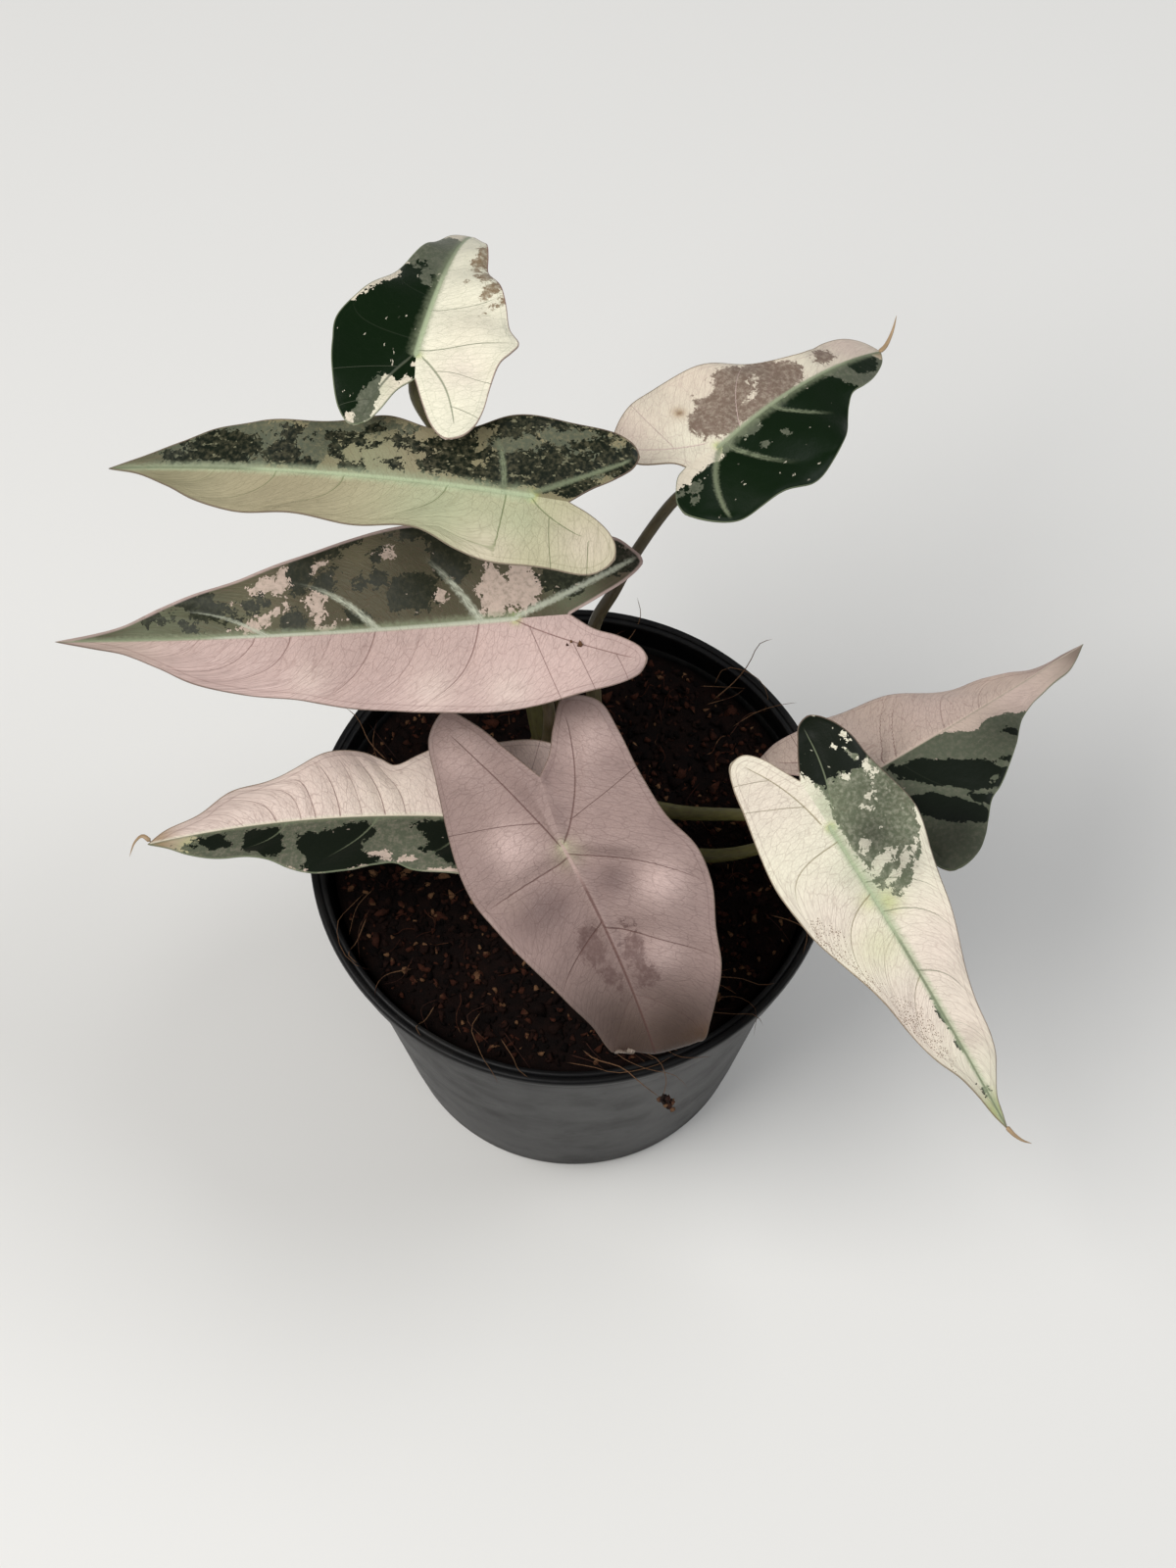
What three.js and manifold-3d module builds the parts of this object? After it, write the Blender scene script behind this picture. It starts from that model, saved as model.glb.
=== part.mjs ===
// A potted variegated bambino alocasia: eight arrow-shaped leaves on their stalks, in a black nursery pot.
// Millimetres, +Z up. The origin is the centre of the pot's underside.
import * as THREE from "three";
import { mergeVertices } from "three/addons/utils/BufferGeometryUtils.js";
import Module from "manifold-3d";

const wasm = await Module();
wasm.setup();

// Driving dimensions
const FIT_GAP = 0.3;
const POT_HEIGHT = 125;
const RIM_RADIUS = 75;
const RIM_LIP_WIDTH = 4;
const RIM_LIP_DEPTH = 3;
const COLLAR_DEPTH = 12;
const COLLAR_RADIUS = 73;
const SHOULDER_RADIUS = 70;
const BASE_RADIUS = 53;
const POT_WALL = 1.4;
const POT_FLOOR = 2.2;
const DRAIN_HOLES = 8;
const DRAIN_RADIUS = 4.5;
const DRAIN_CIRCLE = 40;
const SOIL_LEVEL = POT_HEIGHT - 8;
const SOIL_MOUND = 2;
const CHIP_SIZE = 6;
const CHIP_RELIEF = 1.8;
const CROWN_PLACE = [0, 12];
const CROWN_RADIUS = 5.6;
const CROWN_HEIGHT = 9;
const STALK_RING = 9.4;
const STALK_BASE_RADIUS = 2.9;
const STALK_TOP_RADIUS = 1.5;
const PLANTING_DEPTH = 7;
const BLADE_THICKNESS = 0.7;
const MIDRIB_DEPTH = 1.1;
const MIDRIB_HALF_WIDTH = 2;
const BLADE_HALF_WIDTH = 25;
const LOBE_LENGTH = 30;
const CALM_TIP_LENGTH = 30;
const EDGE_WAVE_SHIFT = 0.9;
const STALK_UPRIGHT = 6;
const STALK_NECK = 9;
const BORE_TOP = SOIL_LEVEL + 20;

// Mesh fineness
const POT_SIDES = 64;
const BORE_SIDES = 16;
const CROWN_SIDES = 16;
const SOIL_RINGS = 13;
const SOIL_SIDES = 48;
const STALK_SIDES = 8;
const STALK_STEPS = 16;
const BLADE_STEPS = 26;
const LOBE_STEPS = 5;
const BLADE_COLUMNS = [0, 0.12, 0.42, 0.72, 1];

const MATERIALS = {
  pot: new THREE.MeshStandardMaterial({ color: 0x1c1c1d, roughness: 0.55, metalness: 0 }),
  mix: new THREE.MeshStandardMaterial({ color: 0x2e1c14, roughness: 0.95, metalness: 0 }),
  crown: new THREE.MeshStandardMaterial({ color: 0x6b5a35, roughness: 0.8, metalness: 0 }),
  stalk: new THREE.MeshStandardMaterial({ color: 0x7c7440, roughness: 0.5, metalness: 0 }),
  green: new THREE.MeshStandardMaterial({ color: 0x22301f, roughness: 0.45, metalness: 0 }),
  pink: new THREE.MeshStandardMaterial({ color: 0xb0938a, roughness: 0.5, metalness: 0 }),
  cream: new THREE.MeshStandardMaterial({ color: 0xd9d2b4, roughness: 0.5, metalness: 0 }),
};

// Each blade lies along its midrib: x from the stalk's joint towards the tip, y to the left of that, in mm.
// A margin runs from the tip back to the end of the lobe, an inlet from the sinus to the end of the lobe.
// Heading, pitch, roll, bends and the stalk's place round the crown (base) are in degrees.
// The route is the stalk's, between the mix and the blade.
const LEAVES = [
  {
    name: "a",
    material: "green",
    joint: [-39, 61, 285],
    heading: 78,
    pitch: -4,
    roll: -2,
    sweep: 0,
    droop: 52,
    lobeDroop: 4,
    fold: 4,
    curl: 1,
    wave: 1.2,
    waveLength: 26,
    tip: 72,
    sinus: [-8, -1.5],
    left: {
      margin: [
        [64, 4], [55, 6], [47, 8], [39, 9], [30, 13], [20, 18], [10, 22],
        [1, 22], [-8, 20], [-18, 16], [-25, 9],
      ],
      inlet: [[-13, 2], [-19, 4]],
    },
    right: {
      margin: [
        [66, -3], [58, -6], [50, -8], [42, -10], [33, -13], [24, -18], [14, -23],
        [5, -25], [-5, -22], [-18, -20], [-25, -14],
      ],
      inlet: [[-13, -4], [-20, -8]],
    },
    base: 135,
    route: [[-13, 34, 165], [-24, 50, 225], [-34, 53.5, 257]],
  },
  {
    name: "b",
    material: "green",
    joint: [-10, 25, 275],
    heading: 171,
    pitch: 2,
    roll: 1,
    sweep: 0,
    droop: 20,
    lobeDroop: 6,
    fold: 9,
    curl: 1.5,
    wave: 1.1,
    waveLength: 30,
    tip: 112,
    sinus: [-10, 0],
    left: {
      margin: [
        [103, 2], [94, 6], [85, 11], [76, 13], [63, 13.5], [46, 15], [27, 15],
        [16, 19], [4, 22], [-9, 21.5], [-20, 19.5], [-25, 14],
      ],
      inlet: [[-15, 4], [-21, 8]],
    },
    right: {
      margin: [
        [103, -3], [92, -7], [83, -12], [73, -13.5], [60, -14], [41, -17], [28, -15],
        [18, -17], [8, -21], [-6, -22.5], [-18, -20.5], [-25, -13],
      ],
      inlet: [[-15, -4], [-21, -7]],
    },
    base: 90,
    route: [[-4, 36, 165], [-11, 49, 222], [-12, 44, 248]],
  },
  {
    name: "c",
    material: "pink",
    joint: [-15, 17, 225],
    heading: 186,
    pitch: 0,
    roll: -16,
    sweep: -15.5,
    droop: 18,
    lobeDroop: 6,
    fold: 9.5,
    curl: 1.5,
    wave: 1.3,
    waveLength: 34,
    tip: 126,
    sinus: [-15, 0],
    left: {
      margin: [
        [115, 2], [105, 4], [95, 8], [84, 13], [71, 16], [58, 18], [45, 21],
        [32, 22.5], [22, 24], [10, 25], [-5, 24], [-18, 20], [-29, 18], [-34, 12.5],
      ],
      inlet: [[-21, 4], [-28, 6.5]],
    },
    right: {
      margin: [
        [114, -2], [106, -4], [95, -8], [84, -12.5], [71, -16], [57, -20], [43, -24.5],
        [29, -26.5], [13, -26.5], [-3, -24], [-17, -21], [-29, -19.5], [-35, -13],
      ],
      inlet: [[-20, -4], [-28, -7.5]],
    },
    base: 180,
    route: [[-7.5, 12.5, 150], [-6, 11.5, 172], [-6.5, 9.5, 195]],
  },
  {
    name: "d",
    material: "cream",
    joint: [-21, -14, 168],
    heading: 174.5,
    pitch: -2,
    roll: 3,
    sweep: 12,
    droop: 14,
    lobeDroop: 4,
    fold: 15,
    curl: 1.5,
    wave: 1.4,
    waveLength: 29,
    tip: 98,
    sinus: [-12, 0],
    left: {
      margin: [
        [93, 2], [87, 6], [78, 10], [68, 12.5], [58, 15], [50, 18.5], [41, 20],
        [34, 18], [26, 16], [19, 18.5], [9, 20], [-4, 20], [-16, 18.5], [-25, 12],
      ],
      inlet: [[-17, 2.5], [-23, 6.5]],
    },
    right: {
      margin: [
        [92, -2.5], [84, -4.5], [76, -8.5], [66, -11], [56, -14], [47, -17.5], [37, -18.5],
        [30, -16], [23, -15.5], [14, -19.5], [1, -22], [-11, -22], [-21, -19], [-24, -12.5],
      ],
      inlet: [[-16, -3], [-21, -8]],
    },
    base: 225,
    route: [[-10, 3.5, 132], [-16, -4, 152]],
  },
  {
    name: "e",
    material: "pink",
    joint: [-2, -33, 190],
    heading: 299.5,
    pitch: -10.5,
    roll: 22,
    sweep: -3,
    droop: 50,
    lobeDroop: 4,
    hook: 115,
    hookFrom: 60,
    hookLength: 8,
    fold: -10,
    curl: 1,
    wave: 1.2,
    waveLength: 32,
    tip: 74,
    sinus: [-20, 4],
    left: {
      margin: [
        [71, 5], [68, 10], [63, 14], [55, 19], [46, 24], [36, 26.5], [26, 30],
        [16, 31], [5, 27.5], [-7, 27], [-20, 28], [-31, 27], [-36, 20],
      ],
      inlet: [[-24, 9], [-30, 13.5]],
    },
    right: {
      margin: [
        [71, -4], [67, -8], [59, -12], [51, -14], [42, -18.5], [25, -24], [12, -28],
        [0, -30], [-12, -29], [-24, -26.5], [-37, -21.5], [-48, -17], [-51, -10],
      ],
      inlet: [[-31, 0], [-42, -4]],
    },
    base: 275,
    route: [[2.5, -3, 138], [5, -14, 166], [3, -25, 180]],
  },
  {
    name: "f",
    material: "cream",
    joint: [39, 52, 255],
    heading: 46.5,
    pitch: -1.5,
    roll: -3,
    sweep: -5,
    droop: 38,
    lobeDroop: 5,
    fold: -4,
    curl: 1,
    wave: 1.3,
    waveLength: 24,
    tip: 68,
    sinus: [-11, 2],
    left: {
      margin: [
        [64, 4], [58, 8], [49, 9], [41, 8.5], [34, 10.5], [27, 16], [18, 21],
        [8, 24], [-3, 25], [-14, 25], [-22, 19],
      ],
      inlet: [[-14, 6], [-18, 10.5]],
    },
    right: {
      margin: [
        [61, -5], [54, -8], [45, -10], [38, -13], [29, -20], [19, -24], [9, -24],
        [-2, -22], [-12, -19.5], [-19, -14.5], [-22.5, -8],
      ],
      inlet: [[-15, -0.5], [-19.5, -2.5]],
    },
    base: 45,
    route: [[6.3, 26, 160], [6.2, 34, 189], [11.8, 37.3, 204], [18, 41.6, 219], [28.4, 47.7, 236]],
  },
  {
    name: "g",
    material: "green",
    joint: [84, 1, 168],
    heading: 33,
    pitch: -2,
    roll: -19,
    sweep: 12,
    droop: 26,
    lobeDroop: 4,
    fold: -16,
    curl: 0,
    wave: 1.3,
    waveLength: 30,
    tip: 84,
    sinus: [-8, 1.5],
    left: {
      margin: [
        [75, 1], [67, 1.5], [60, 3.5], [54, 7.5], [49, 12], [43, 15.5], [34, 22],
        [23, 28], [8, 34], [-4, 33], [-14, 35], [-22, 31],
      ],
      inlet: [[-12, 9], [-19, 21]],
    },
    right: {
      margin: [
        [74, -4], [66, -5], [59, -5.5], [51, -7.5], [43, -11.5], [34, -18], [24, -22.5],
        [17, -26.5], [9, -35], [1, -37.5], [-3, -33],
      ],
      inlet: [[-8, -9], [-6, -21]],
    },
    base: 320,
    route: [[36, -8, 131], [60, -11, 148]],
  },
  {
    name: "h",
    material: "cream",
    joint: [70, -24, 182],
    heading: 301,
    pitch: -8,
    roll: 0,
    sweep: 0,
    droop: 14,
    lobeDroop: 8,
    fold: 5,
    curl: 1,
    wave: 1.3,
    waveLength: 31,
    tip: 93,
    sinus: [-16, 0],
    left: {
      margin: [
        [88, 1], [81, 3.5], [75, 7], [66, 8.5], [54, 11.5], [43, 14], [31, 17.5],
        [19, 20.5], [6, 23], [-7, 21], [-19, 18], [-30, 12],
      ],
      inlet: [[-22, 3], [-28, 6.5]],
    },
    right: {
      margin: [
        [88, -2.5], [80, -4.5], [70, -7.5], [59, -10.5], [46, -13.5], [34, -17], [22, -21],
        [10, -22.5], [-2, -21], [-14, -19], [-25, -16], [-30, -11],
      ],
      inlet: [[-22, -2.5], [-28, -7]],
    },
    base: 0,
    route: [[32, 2, 138], [51, -9, 159]],
  },
];

const radians = THREE.MathUtils.degToRad;

// A number between 0 and 1 that is always the same for the same pair of whole numbers.
function scatter(a, b) {
  const wide = Math.sin(a * 127.1 + b * 311.7) * 43758.5453;
  return wide - Math.floor(wide);
}

function meshOf(name, geometry, material) {
  const mesh = new THREE.Mesh(geometry, material);
  mesh.name = name;
  return mesh;
}

// Vertices at one place are made one, and triangles that have lost their area are dropped.
function welded(geometry) {
  const bare = geometry.clone();
  bare.deleteAttribute("normal");
  bare.deleteAttribute("uv");
  const merged = mergeVertices(bare, 1e-4);
  const kept = [];
  for (let i = 0; i < merged.index.count; i += 3) {
    const [a, b, c] = [0, 1, 2].map((k) => merged.index.getX(i + k));
    if (a !== b && b !== c && c !== a) kept.push(a, b, c);
  }
  merged.setIndex(kept);
  return merged;
}

function geometryOf(points, triangles) {
  const geometry = new THREE.BufferGeometry();
  const numbers = points.flatMap((p) => [p.x, p.y, p.z]);
  geometry.setAttribute("position", new THREE.Float32BufferAttribute(numbers, 3));
  geometry.setIndex(triangles.flat());
  return geometry;
}

function solidOf(geometry) {
  const merged = welded(geometry);
  return new wasm.Manifold(
    new wasm.Mesh({
      numProp: 3,
      vertProperties: new Float32Array(merged.attributes.position.array),
      triVerts: new Uint32Array(merged.index.array),
    }),
  );
}

function geometryOfSolid(solid) {
  const mesh = solid.getMesh();
  const geometry = new THREE.BufferGeometry();
  geometry.setAttribute("position", new THREE.Float32BufferAttribute(mesh.vertProperties, 3));
  geometry.setIndex(new THREE.BufferAttribute(new Uint32Array(mesh.triVerts), 1));
  geometry.computeVertexNormals();
  return geometry;
}

// A profile of [radius, height] pairs turned round the vertical axis.
function turned(profile, sides) {
  const points = profile.map(([radius, height]) => new THREE.Vector2(radius, height));
  return new THREE.LatheGeometry(points, sides).rotateX(Math.PI / 2);
}

function upright(radius, bottom, top, x, y) {
  return new THREE.CylinderGeometry(radius, radius, top - bottom, BORE_SIDES)
    .rotateX(Math.PI / 2)
    .translate(x, y, (top + bottom) / 2);
}

// Radius of the pot's outside at a height below the collar.
function potRadius(height) {
  return BASE_RADIUS + ((SHOULDER_RADIUS - BASE_RADIUS) * height) / (POT_HEIGHT - COLLAR_DEPTH);
}

function makePot() {
  const top = POT_HEIGHT;
  const ledge = POT_HEIGHT - COLLAR_DEPTH;
  const lipFoot = POT_HEIGHT - RIM_LIP_DEPTH;
  const profile = [
    [0, 0],
    [BASE_RADIUS - 1.5, 0],
    [BASE_RADIUS, 1.5],
    [SHOULDER_RADIUS, ledge],
    [COLLAR_RADIUS, ledge + 0.6],
    [COLLAR_RADIUS + 0.5, lipFoot],
    [RIM_RADIUS, lipFoot + 0.5],
    [RIM_RADIUS, top - 0.6],
    [RIM_RADIUS - 0.7, top],
    [RIM_RADIUS - 1.8, top],
    [RIM_RADIUS - 2.2, top - 0.5],
    [RIM_RADIUS - 2.6, top],
    [RIM_RADIUS - RIM_LIP_WIDTH + 0.6, top],
    [RIM_RADIUS - RIM_LIP_WIDTH, top - 0.7],
    [COLLAR_RADIUS - POT_WALL - 0.4, lipFoot],
    [COLLAR_RADIUS - POT_WALL - 0.6, ledge + 2.2],
    [SHOULDER_RADIUS - POT_WALL, ledge],
    [potRadius(POT_FLOOR) - POT_WALL, POT_FLOOR],
    [0, POT_FLOOR],
  ];
  const shell = solidOf(turned(profile, POT_SIDES));
  let pot = shell;
  for (let i = 0; i < DRAIN_HOLES; i++) {
    const angle = ((i + 0.5) / DRAIN_HOLES) * 2 * Math.PI;
    const x = DRAIN_CIRCLE * Math.cos(angle);
    const y = DRAIN_CIRCLE * Math.sin(angle);
    pot = pot.subtract(solidOf(upright(DRAIN_RADIUS, -1, POT_FLOOR + 1, x, y)));
  }
  return meshOf("pot", geometryOfSolid(pot), MATERIALS.pot);
}

// Height of the mix's surface: a low mound of chips, each a small tilted flake.
function soilHeight(x, y) {
  const radius = Math.hypot(x, y);
  const mound = SOIL_MOUND * (1 - (radius / COLLAR_RADIUS) ** 2);
  const column = Math.floor(x / CHIP_SIZE);
  const row = Math.floor(y / CHIP_SIZE + 0.5 * scatter(column, 7));
  const lift = scatter(column, row) - 0.5;
  const tiltX = (scatter(column + 31, row) - 0.5) * (x / CHIP_SIZE - column - 0.5);
  const tiltY = (scatter(column, row + 57) - 0.5) * (y / CHIP_SIZE - row);
  return SOIL_LEVEL + mound + CHIP_RELIEF * (lift + tiltX + tiltY);
}

// Radius of the pot's inside at a height, less the gap that the mix keeps.
function soilRadius(height) {
  return Math.min(potRadius(height), SHOULDER_RADIUS) - POT_WALL - FIT_GAP;
}

function makeSoil(stalkHoles) {
  const bottom = POT_FLOOR + FIT_GAP;
  const ledge = POT_HEIGHT - COLLAR_DEPTH - 0.5;
  const points = [new THREE.Vector3(0, 0, soilHeight(0, 0))];
  const ring = (radiusAt, heightAt) => {
    for (let i = 0; i < SOIL_SIDES; i++) {
      const angle = (i / SOIL_SIDES) * 2 * Math.PI;
      const x = radiusAt * Math.cos(angle);
      const y = radiusAt * Math.sin(angle);
      points.push(new THREE.Vector3(x, y, heightAt(x, y)));
    }
  };
  const edge = soilRadius(ledge);
  for (let r = 1; r <= SOIL_RINGS; r++) ring((edge * r) / SOIL_RINGS, soilHeight);
  ring(edge, () => ledge);
  ring(soilRadius(bottom), () => bottom);
  points.push(new THREE.Vector3(0, 0, bottom));
  const rings = SOIL_RINGS + 2;
  const at = (r, i) => 1 + r * SOIL_SIDES + (i % SOIL_SIDES);
  const triangles = [];
  for (let i = 0; i < SOIL_SIDES; i++) {
    triangles.push([0, at(0, i), at(0, i + 1)]);
    triangles.push([points.length - 1, at(rings - 1, i + 1), at(rings - 1, i)]);
    for (let r = 0; r + 1 < rings; r++) {
      triangles.push([at(r, i), at(r + 1, i), at(r + 1, i + 1)]);
      triangles.push([at(r, i), at(r + 1, i + 1), at(r, i + 1)]);
    }
  }
  let mix = solidOf(geometryOf(points, triangles));
  const [x, y] = CROWN_PLACE;
  const foot = SOIL_LEVEL - PLANTING_DEPTH - FIT_GAP;
  mix = mix.subtract(solidOf(upright(CROWN_RADIUS + FIT_GAP, foot, BORE_TOP, x, y)));
  for (const hole of stalkHoles) mix = mix.subtract(solidOf(hole));
  const whole = mix.decompose().sort((a, b) => b.volume() - a.volume())[0];
  return meshOf("potting_mix", geometryOfSolid(whole), MATERIALS.mix);
}

function makeCrown() {
  const foot = SOIL_LEVEL - PLANTING_DEPTH;
  const top = SOIL_LEVEL + CROWN_HEIGHT;
  const profile = [
    [0, foot],
    [CROWN_RADIUS - 0.8, foot],
    [CROWN_RADIUS, foot + 1],
    [CROWN_RADIUS, SOIL_LEVEL + 1],
    [CROWN_RADIUS - 0.7, SOIL_LEVEL + 4],
    [CROWN_RADIUS - 1.8, top - 2],
    [CROWN_RADIUS - 3.6, top],
    [0, top + 0.6],
  ];
  const mesh = meshOf("crown", welded(turned(profile, CROWN_SIDES)), MATERIALS.crown);
  mesh.position.set(CROWN_PLACE[0], CROWN_PLACE[1], 0);
  return mesh;
}

const smooth = (t) => THREE.MathUtils.smoothstep(t, 0, 1);

// The blade's own axes at a distance x along the midrib: towards the tip, to the left, and up from its face.
function axesAt(leaf, x) {
  const along = x / leaf.tip;
  const heading = radians(leaf.heading + leaf.sweep * Math.max(along, 0));
  const hook = leaf.hook ? leaf.hook * smooth((x - leaf.hookFrom) / leaf.hookLength) : 0;
  const bend = x > 0 ? leaf.droop * along + hook : (leaf.lobeDroop * x) / LOBE_LENGTH;
  const pitch = radians(leaf.pitch - bend);
  const forward = new THREE.Vector3(
    Math.cos(heading) * Math.cos(pitch),
    Math.sin(heading) * Math.cos(pitch),
    Math.sin(pitch),
  );
  const left = new THREE.Vector3(-Math.sin(heading), Math.cos(heading), 0);
  left.applyAxisAngle(forward, radians(leaf.roll));
  return { forward, left, up: forward.clone().cross(left) };
}

// The midrib's place at a distance x, summed in short steps from the stalk's joint.
function midribAt(leaf, x) {
  const steps = Math.max(1, Math.ceil(Math.abs(x) / 2));
  const place = new THREE.Vector3(...leaf.joint);
  for (let i = 0; i < steps; i++) {
    const { forward } = axesAt(leaf, (x * (i + 0.5)) / steps);
    place.addScaledVector(forward, x / steps);
  }
  return place;
}

// How far a point of the blade stands off the plane of its midrib: the fold, the curl and the waved edge.
function bladeRise(leaf, x, y, across, side) {
  const width = Math.abs(y);
  const fold = Math.tan(radians(leaf.fold)) * width;
  const curl = leaf.curl * (width / BLADE_HALF_WIDTH) ** 2;
  const calm = smooth((leaf.tip - x) / CALM_TIP_LENGTH);
  const phase = (2 * Math.PI * x) / leaf.waveLength + side * EDGE_WAVE_SHIFT + leaf.heading;
  return fold - curl + leaf.wave * calm * across ** 2 * Math.sin(phase);
}

function bladePoint(leaf, x, y, across, side) {
  const { left, up } = axesAt(leaf, x);
  const point = midribAt(leaf, x).addScaledVector(left, y);
  return point.addScaledVector(up, bladeRise(leaf, x, y, across, side));
}

// The inner and outer line of one half of the blade, both from the tip to the end of the lobe.
function halfLines(leaf, half) {
  const flat = ([x, y]) => new THREE.Vector3(x, y, 0);
  const tip = [leaf.tip, 0];
  const end = half.margin[half.margin.length - 1];
  const outer = new THREE.CatmullRomCurve3([tip, ...half.margin].map(flat), false, "centripetal");
  const midrib = new THREE.CurvePath();
  midrib.add(new THREE.LineCurve3(flat(tip), flat([0, 0])));
  midrib.add(new THREE.LineCurve3(flat([0, 0]), flat(leaf.sinus)));
  const inlet = new THREE.CatmullRomCurve3([leaf.sinus, ...half.inlet, end].map(flat), false, "centripetal");
  const sinusStep = BLADE_STEPS - LOBE_STEPS;
  const inner = (i) =>
    i <= sinusStep ? midrib.getPoint(i / sinusStep) : inlet.getPointAt((i - sinusStep) / LOBE_STEPS);
  return { inner, outer: (i) => outer.getPointAt(i / BLADE_STEPS) };
}

// A thin closed solid round a sheet: the same triangles on both faces, and a wall along the sheet's edge.
function thickened(points, triangles, above, below) {
  const sheet = geometryOf(points, triangles);
  sheet.computeVertexNormals();
  const normal = (i) => new THREE.Vector3().fromBufferAttribute(sheet.attributes.normal, i);
  const top = points.map((p, i) => p.clone().addScaledVector(normal(i), above));
  const bottom = points.map((p, i) => p.clone().addScaledVector(normal(i), -below[i]));
  const count = points.length;
  const faces = [];
  const open = new Map();
  for (const [a, b, c] of triangles) {
    faces.push([a, b, c], [a + count, c + count, b + count]);
    for (const [p, q] of [[a, b], [b, c], [c, a]]) {
      if (!open.delete(q + "-" + p)) open.set(p + "-" + q, [p, q]);
    }
  }
  for (const [p, q] of open.values()) {
    faces.push([q, p, p + count], [q, p + count, q + count]);
  }
  return geometryOf([...top, ...bottom], faces);
}

function makeBlade(leaf) {
  const points = [];
  const below = [];
  const placed = new Map();
  const pointAt = (place, across, side) => {
    const key = place.x.toFixed(3) + "," + place.y.toFixed(3);
    if (!placed.has(key)) {
      placed.set(key, points.length);
      points.push(bladePoint(leaf, place.x, place.y, across, side));
      const taper = smooth((leaf.tip - place.x) / leaf.tip);
      const ridge = smooth(1 - Math.abs(place.y) / MIDRIB_HALF_WIDTH) * taper;
      below.push(BLADE_THICKNESS / 2 + (place.x > leaf.sinus[0] ? MIDRIB_DEPTH * ridge : 0));
    }
    return placed.get(key);
  };
  const triangles = [];
  const addTriangle = (a, b, c, side) => {
    if (a === b || b === c || c === a) return;
    triangles.push(side > 0 ? [a, b, c] : [a, c, b]);
  };
  for (const [half, side] of [[leaf.left, 1], [leaf.right, -1]]) {
    const { inner, outer } = halfLines(leaf, half);
    const rows = [];
    for (let i = 0; i <= BLADE_STEPS; i++) {
      const from = inner(i);
      const to = outer(i);
      rows.push(BLADE_COLUMNS.map((across) => pointAt(from.clone().lerp(to, across), across, side)));
    }
    for (let i = 0; i < BLADE_STEPS; i++) {
      for (let j = 0; j + 1 < BLADE_COLUMNS.length; j++) {
        addTriangle(rows[i][j], rows[i][j + 1], rows[i + 1][j], side);
        addTriangle(rows[i][j + 1], rows[i + 1][j + 1], rows[i + 1][j], side);
      }
    }
  }
  const solid = thickened(points, triangles, BLADE_THICKNESS / 2, below);
  return meshOf("leaf_" + leaf.name + "_blade", solid, MATERIALS[leaf.material]);
}

// The stalk's centre line, from its foot in the mix to its end just under the blade's joint.
function stalkLine(leaf) {
  const angle = radians(leaf.base);
  const foot = new THREE.Vector3(
    CROWN_PLACE[0] + STALK_RING * Math.cos(angle),
    CROWN_PLACE[1] + STALK_RING * Math.sin(angle),
    SOIL_LEVEL - PLANTING_DEPTH,
  );
  const collar = foot.clone().setZ(SOIL_LEVEL + STALK_UPRIGHT);
  const { forward, up } = axesAt(leaf, 0);
  const approach = up.clone().multiplyScalar(0.85).addScaledVector(forward, 0.5).normalize();
  const lean = Math.sqrt(1 - approach.dot(up) ** 2);
  const drop = BLADE_THICKNESS / 2 + MIDRIB_DEPTH + FIT_GAP + STALK_TOP_RADIUS * lean;
  const end = new THREE.Vector3(...leaf.joint).addScaledVector(up, -drop);
  const neck = end.clone().addScaledVector(approach, -STALK_NECK);
  const middle = leaf.route.map((p) => new THREE.Vector3(...p));
  return new THREE.CatmullRomCurve3([foot, collar, ...middle, neck, end], false, "centripetal");
}

// A round bar along a line, its radius easing from the foot to the top.
function taperedBar(line, footRadius, topRadius) {
  const frames = line.computeFrenetFrames(STALK_STEPS, false);
  const points = [];
  for (let i = 0; i <= STALK_STEPS; i++) {
    const t = i / STALK_STEPS;
    const centre = line.getPointAt(t);
    const radius = topRadius + (footRadius - topRadius) * (1 - t) ** 2;
    for (let k = 0; k < STALK_SIDES; k++) {
      const angle = (k / STALK_SIDES) * 2 * Math.PI;
      const point = centre.clone().addScaledVector(frames.normals[i], radius * Math.cos(angle));
      points.push(point.addScaledVector(frames.binormals[i], radius * Math.sin(angle)));
    }
  }
  const at = (i, k) => i * STALK_SIDES + (k % STALK_SIDES);
  const triangles = [];
  for (let i = 0; i < STALK_STEPS; i++) {
    for (let k = 0; k < STALK_SIDES; k++) {
      triangles.push([at(i, k), at(i, k + 1), at(i + 1, k + 1)], [at(i, k), at(i + 1, k + 1), at(i + 1, k)]);
    }
  }
  for (let k = 1; k + 1 < STALK_SIDES; k++) {
    triangles.push([at(0, 0), at(0, k + 1), at(0, k)]);
    triangles.push([at(STALK_STEPS, 0), at(STALK_STEPS, k), at(STALK_STEPS, k + 1)]);
  }
  return geometryOf(points, triangles);
}

function makeStalk(leaf) {
  const bar = taperedBar(stalkLine(leaf), STALK_BASE_RADIUS, STALK_TOP_RADIUS);
  return meshOf("leaf_" + leaf.name + "_stalk", bar, MATERIALS.stalk);
}

// The hole that a stalk stands in: a plain upright bore, wider than the stalk by the gap.
function stalkHole(leaf) {
  const foot = stalkLine(leaf).getPoint(0);
  const bottom = foot.z - FIT_GAP;
  return upright(STALK_BASE_RADIUS + 3 * FIT_GAP, bottom, BORE_TOP, foot.x, foot.y);
}

const plant = new THREE.Group();
plant.add(makePot(), makeSoil(LEAVES.map(stalkHole)), makeCrown());
for (const leaf of LEAVES) plant.add(makeStalk(leaf), makeBlade(leaf));
for (const mesh of plant.children) mesh.geometry.computeVertexNormals();

export default plant;
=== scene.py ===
# A potted variegated bambino alocasia: eight arrow-shaped leaves on their stalks, in a black nursery pot.
# Sizes in the sidebar are metres. The leaf table below is in millimetres and degrees, on the blade itself:
# x runs along the midrib from the stalk's joint to the tip, and y to the left of that.
import math

import bmesh
import bpy
import numpy as np
from mathutils import Matrix, Vector


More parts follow.
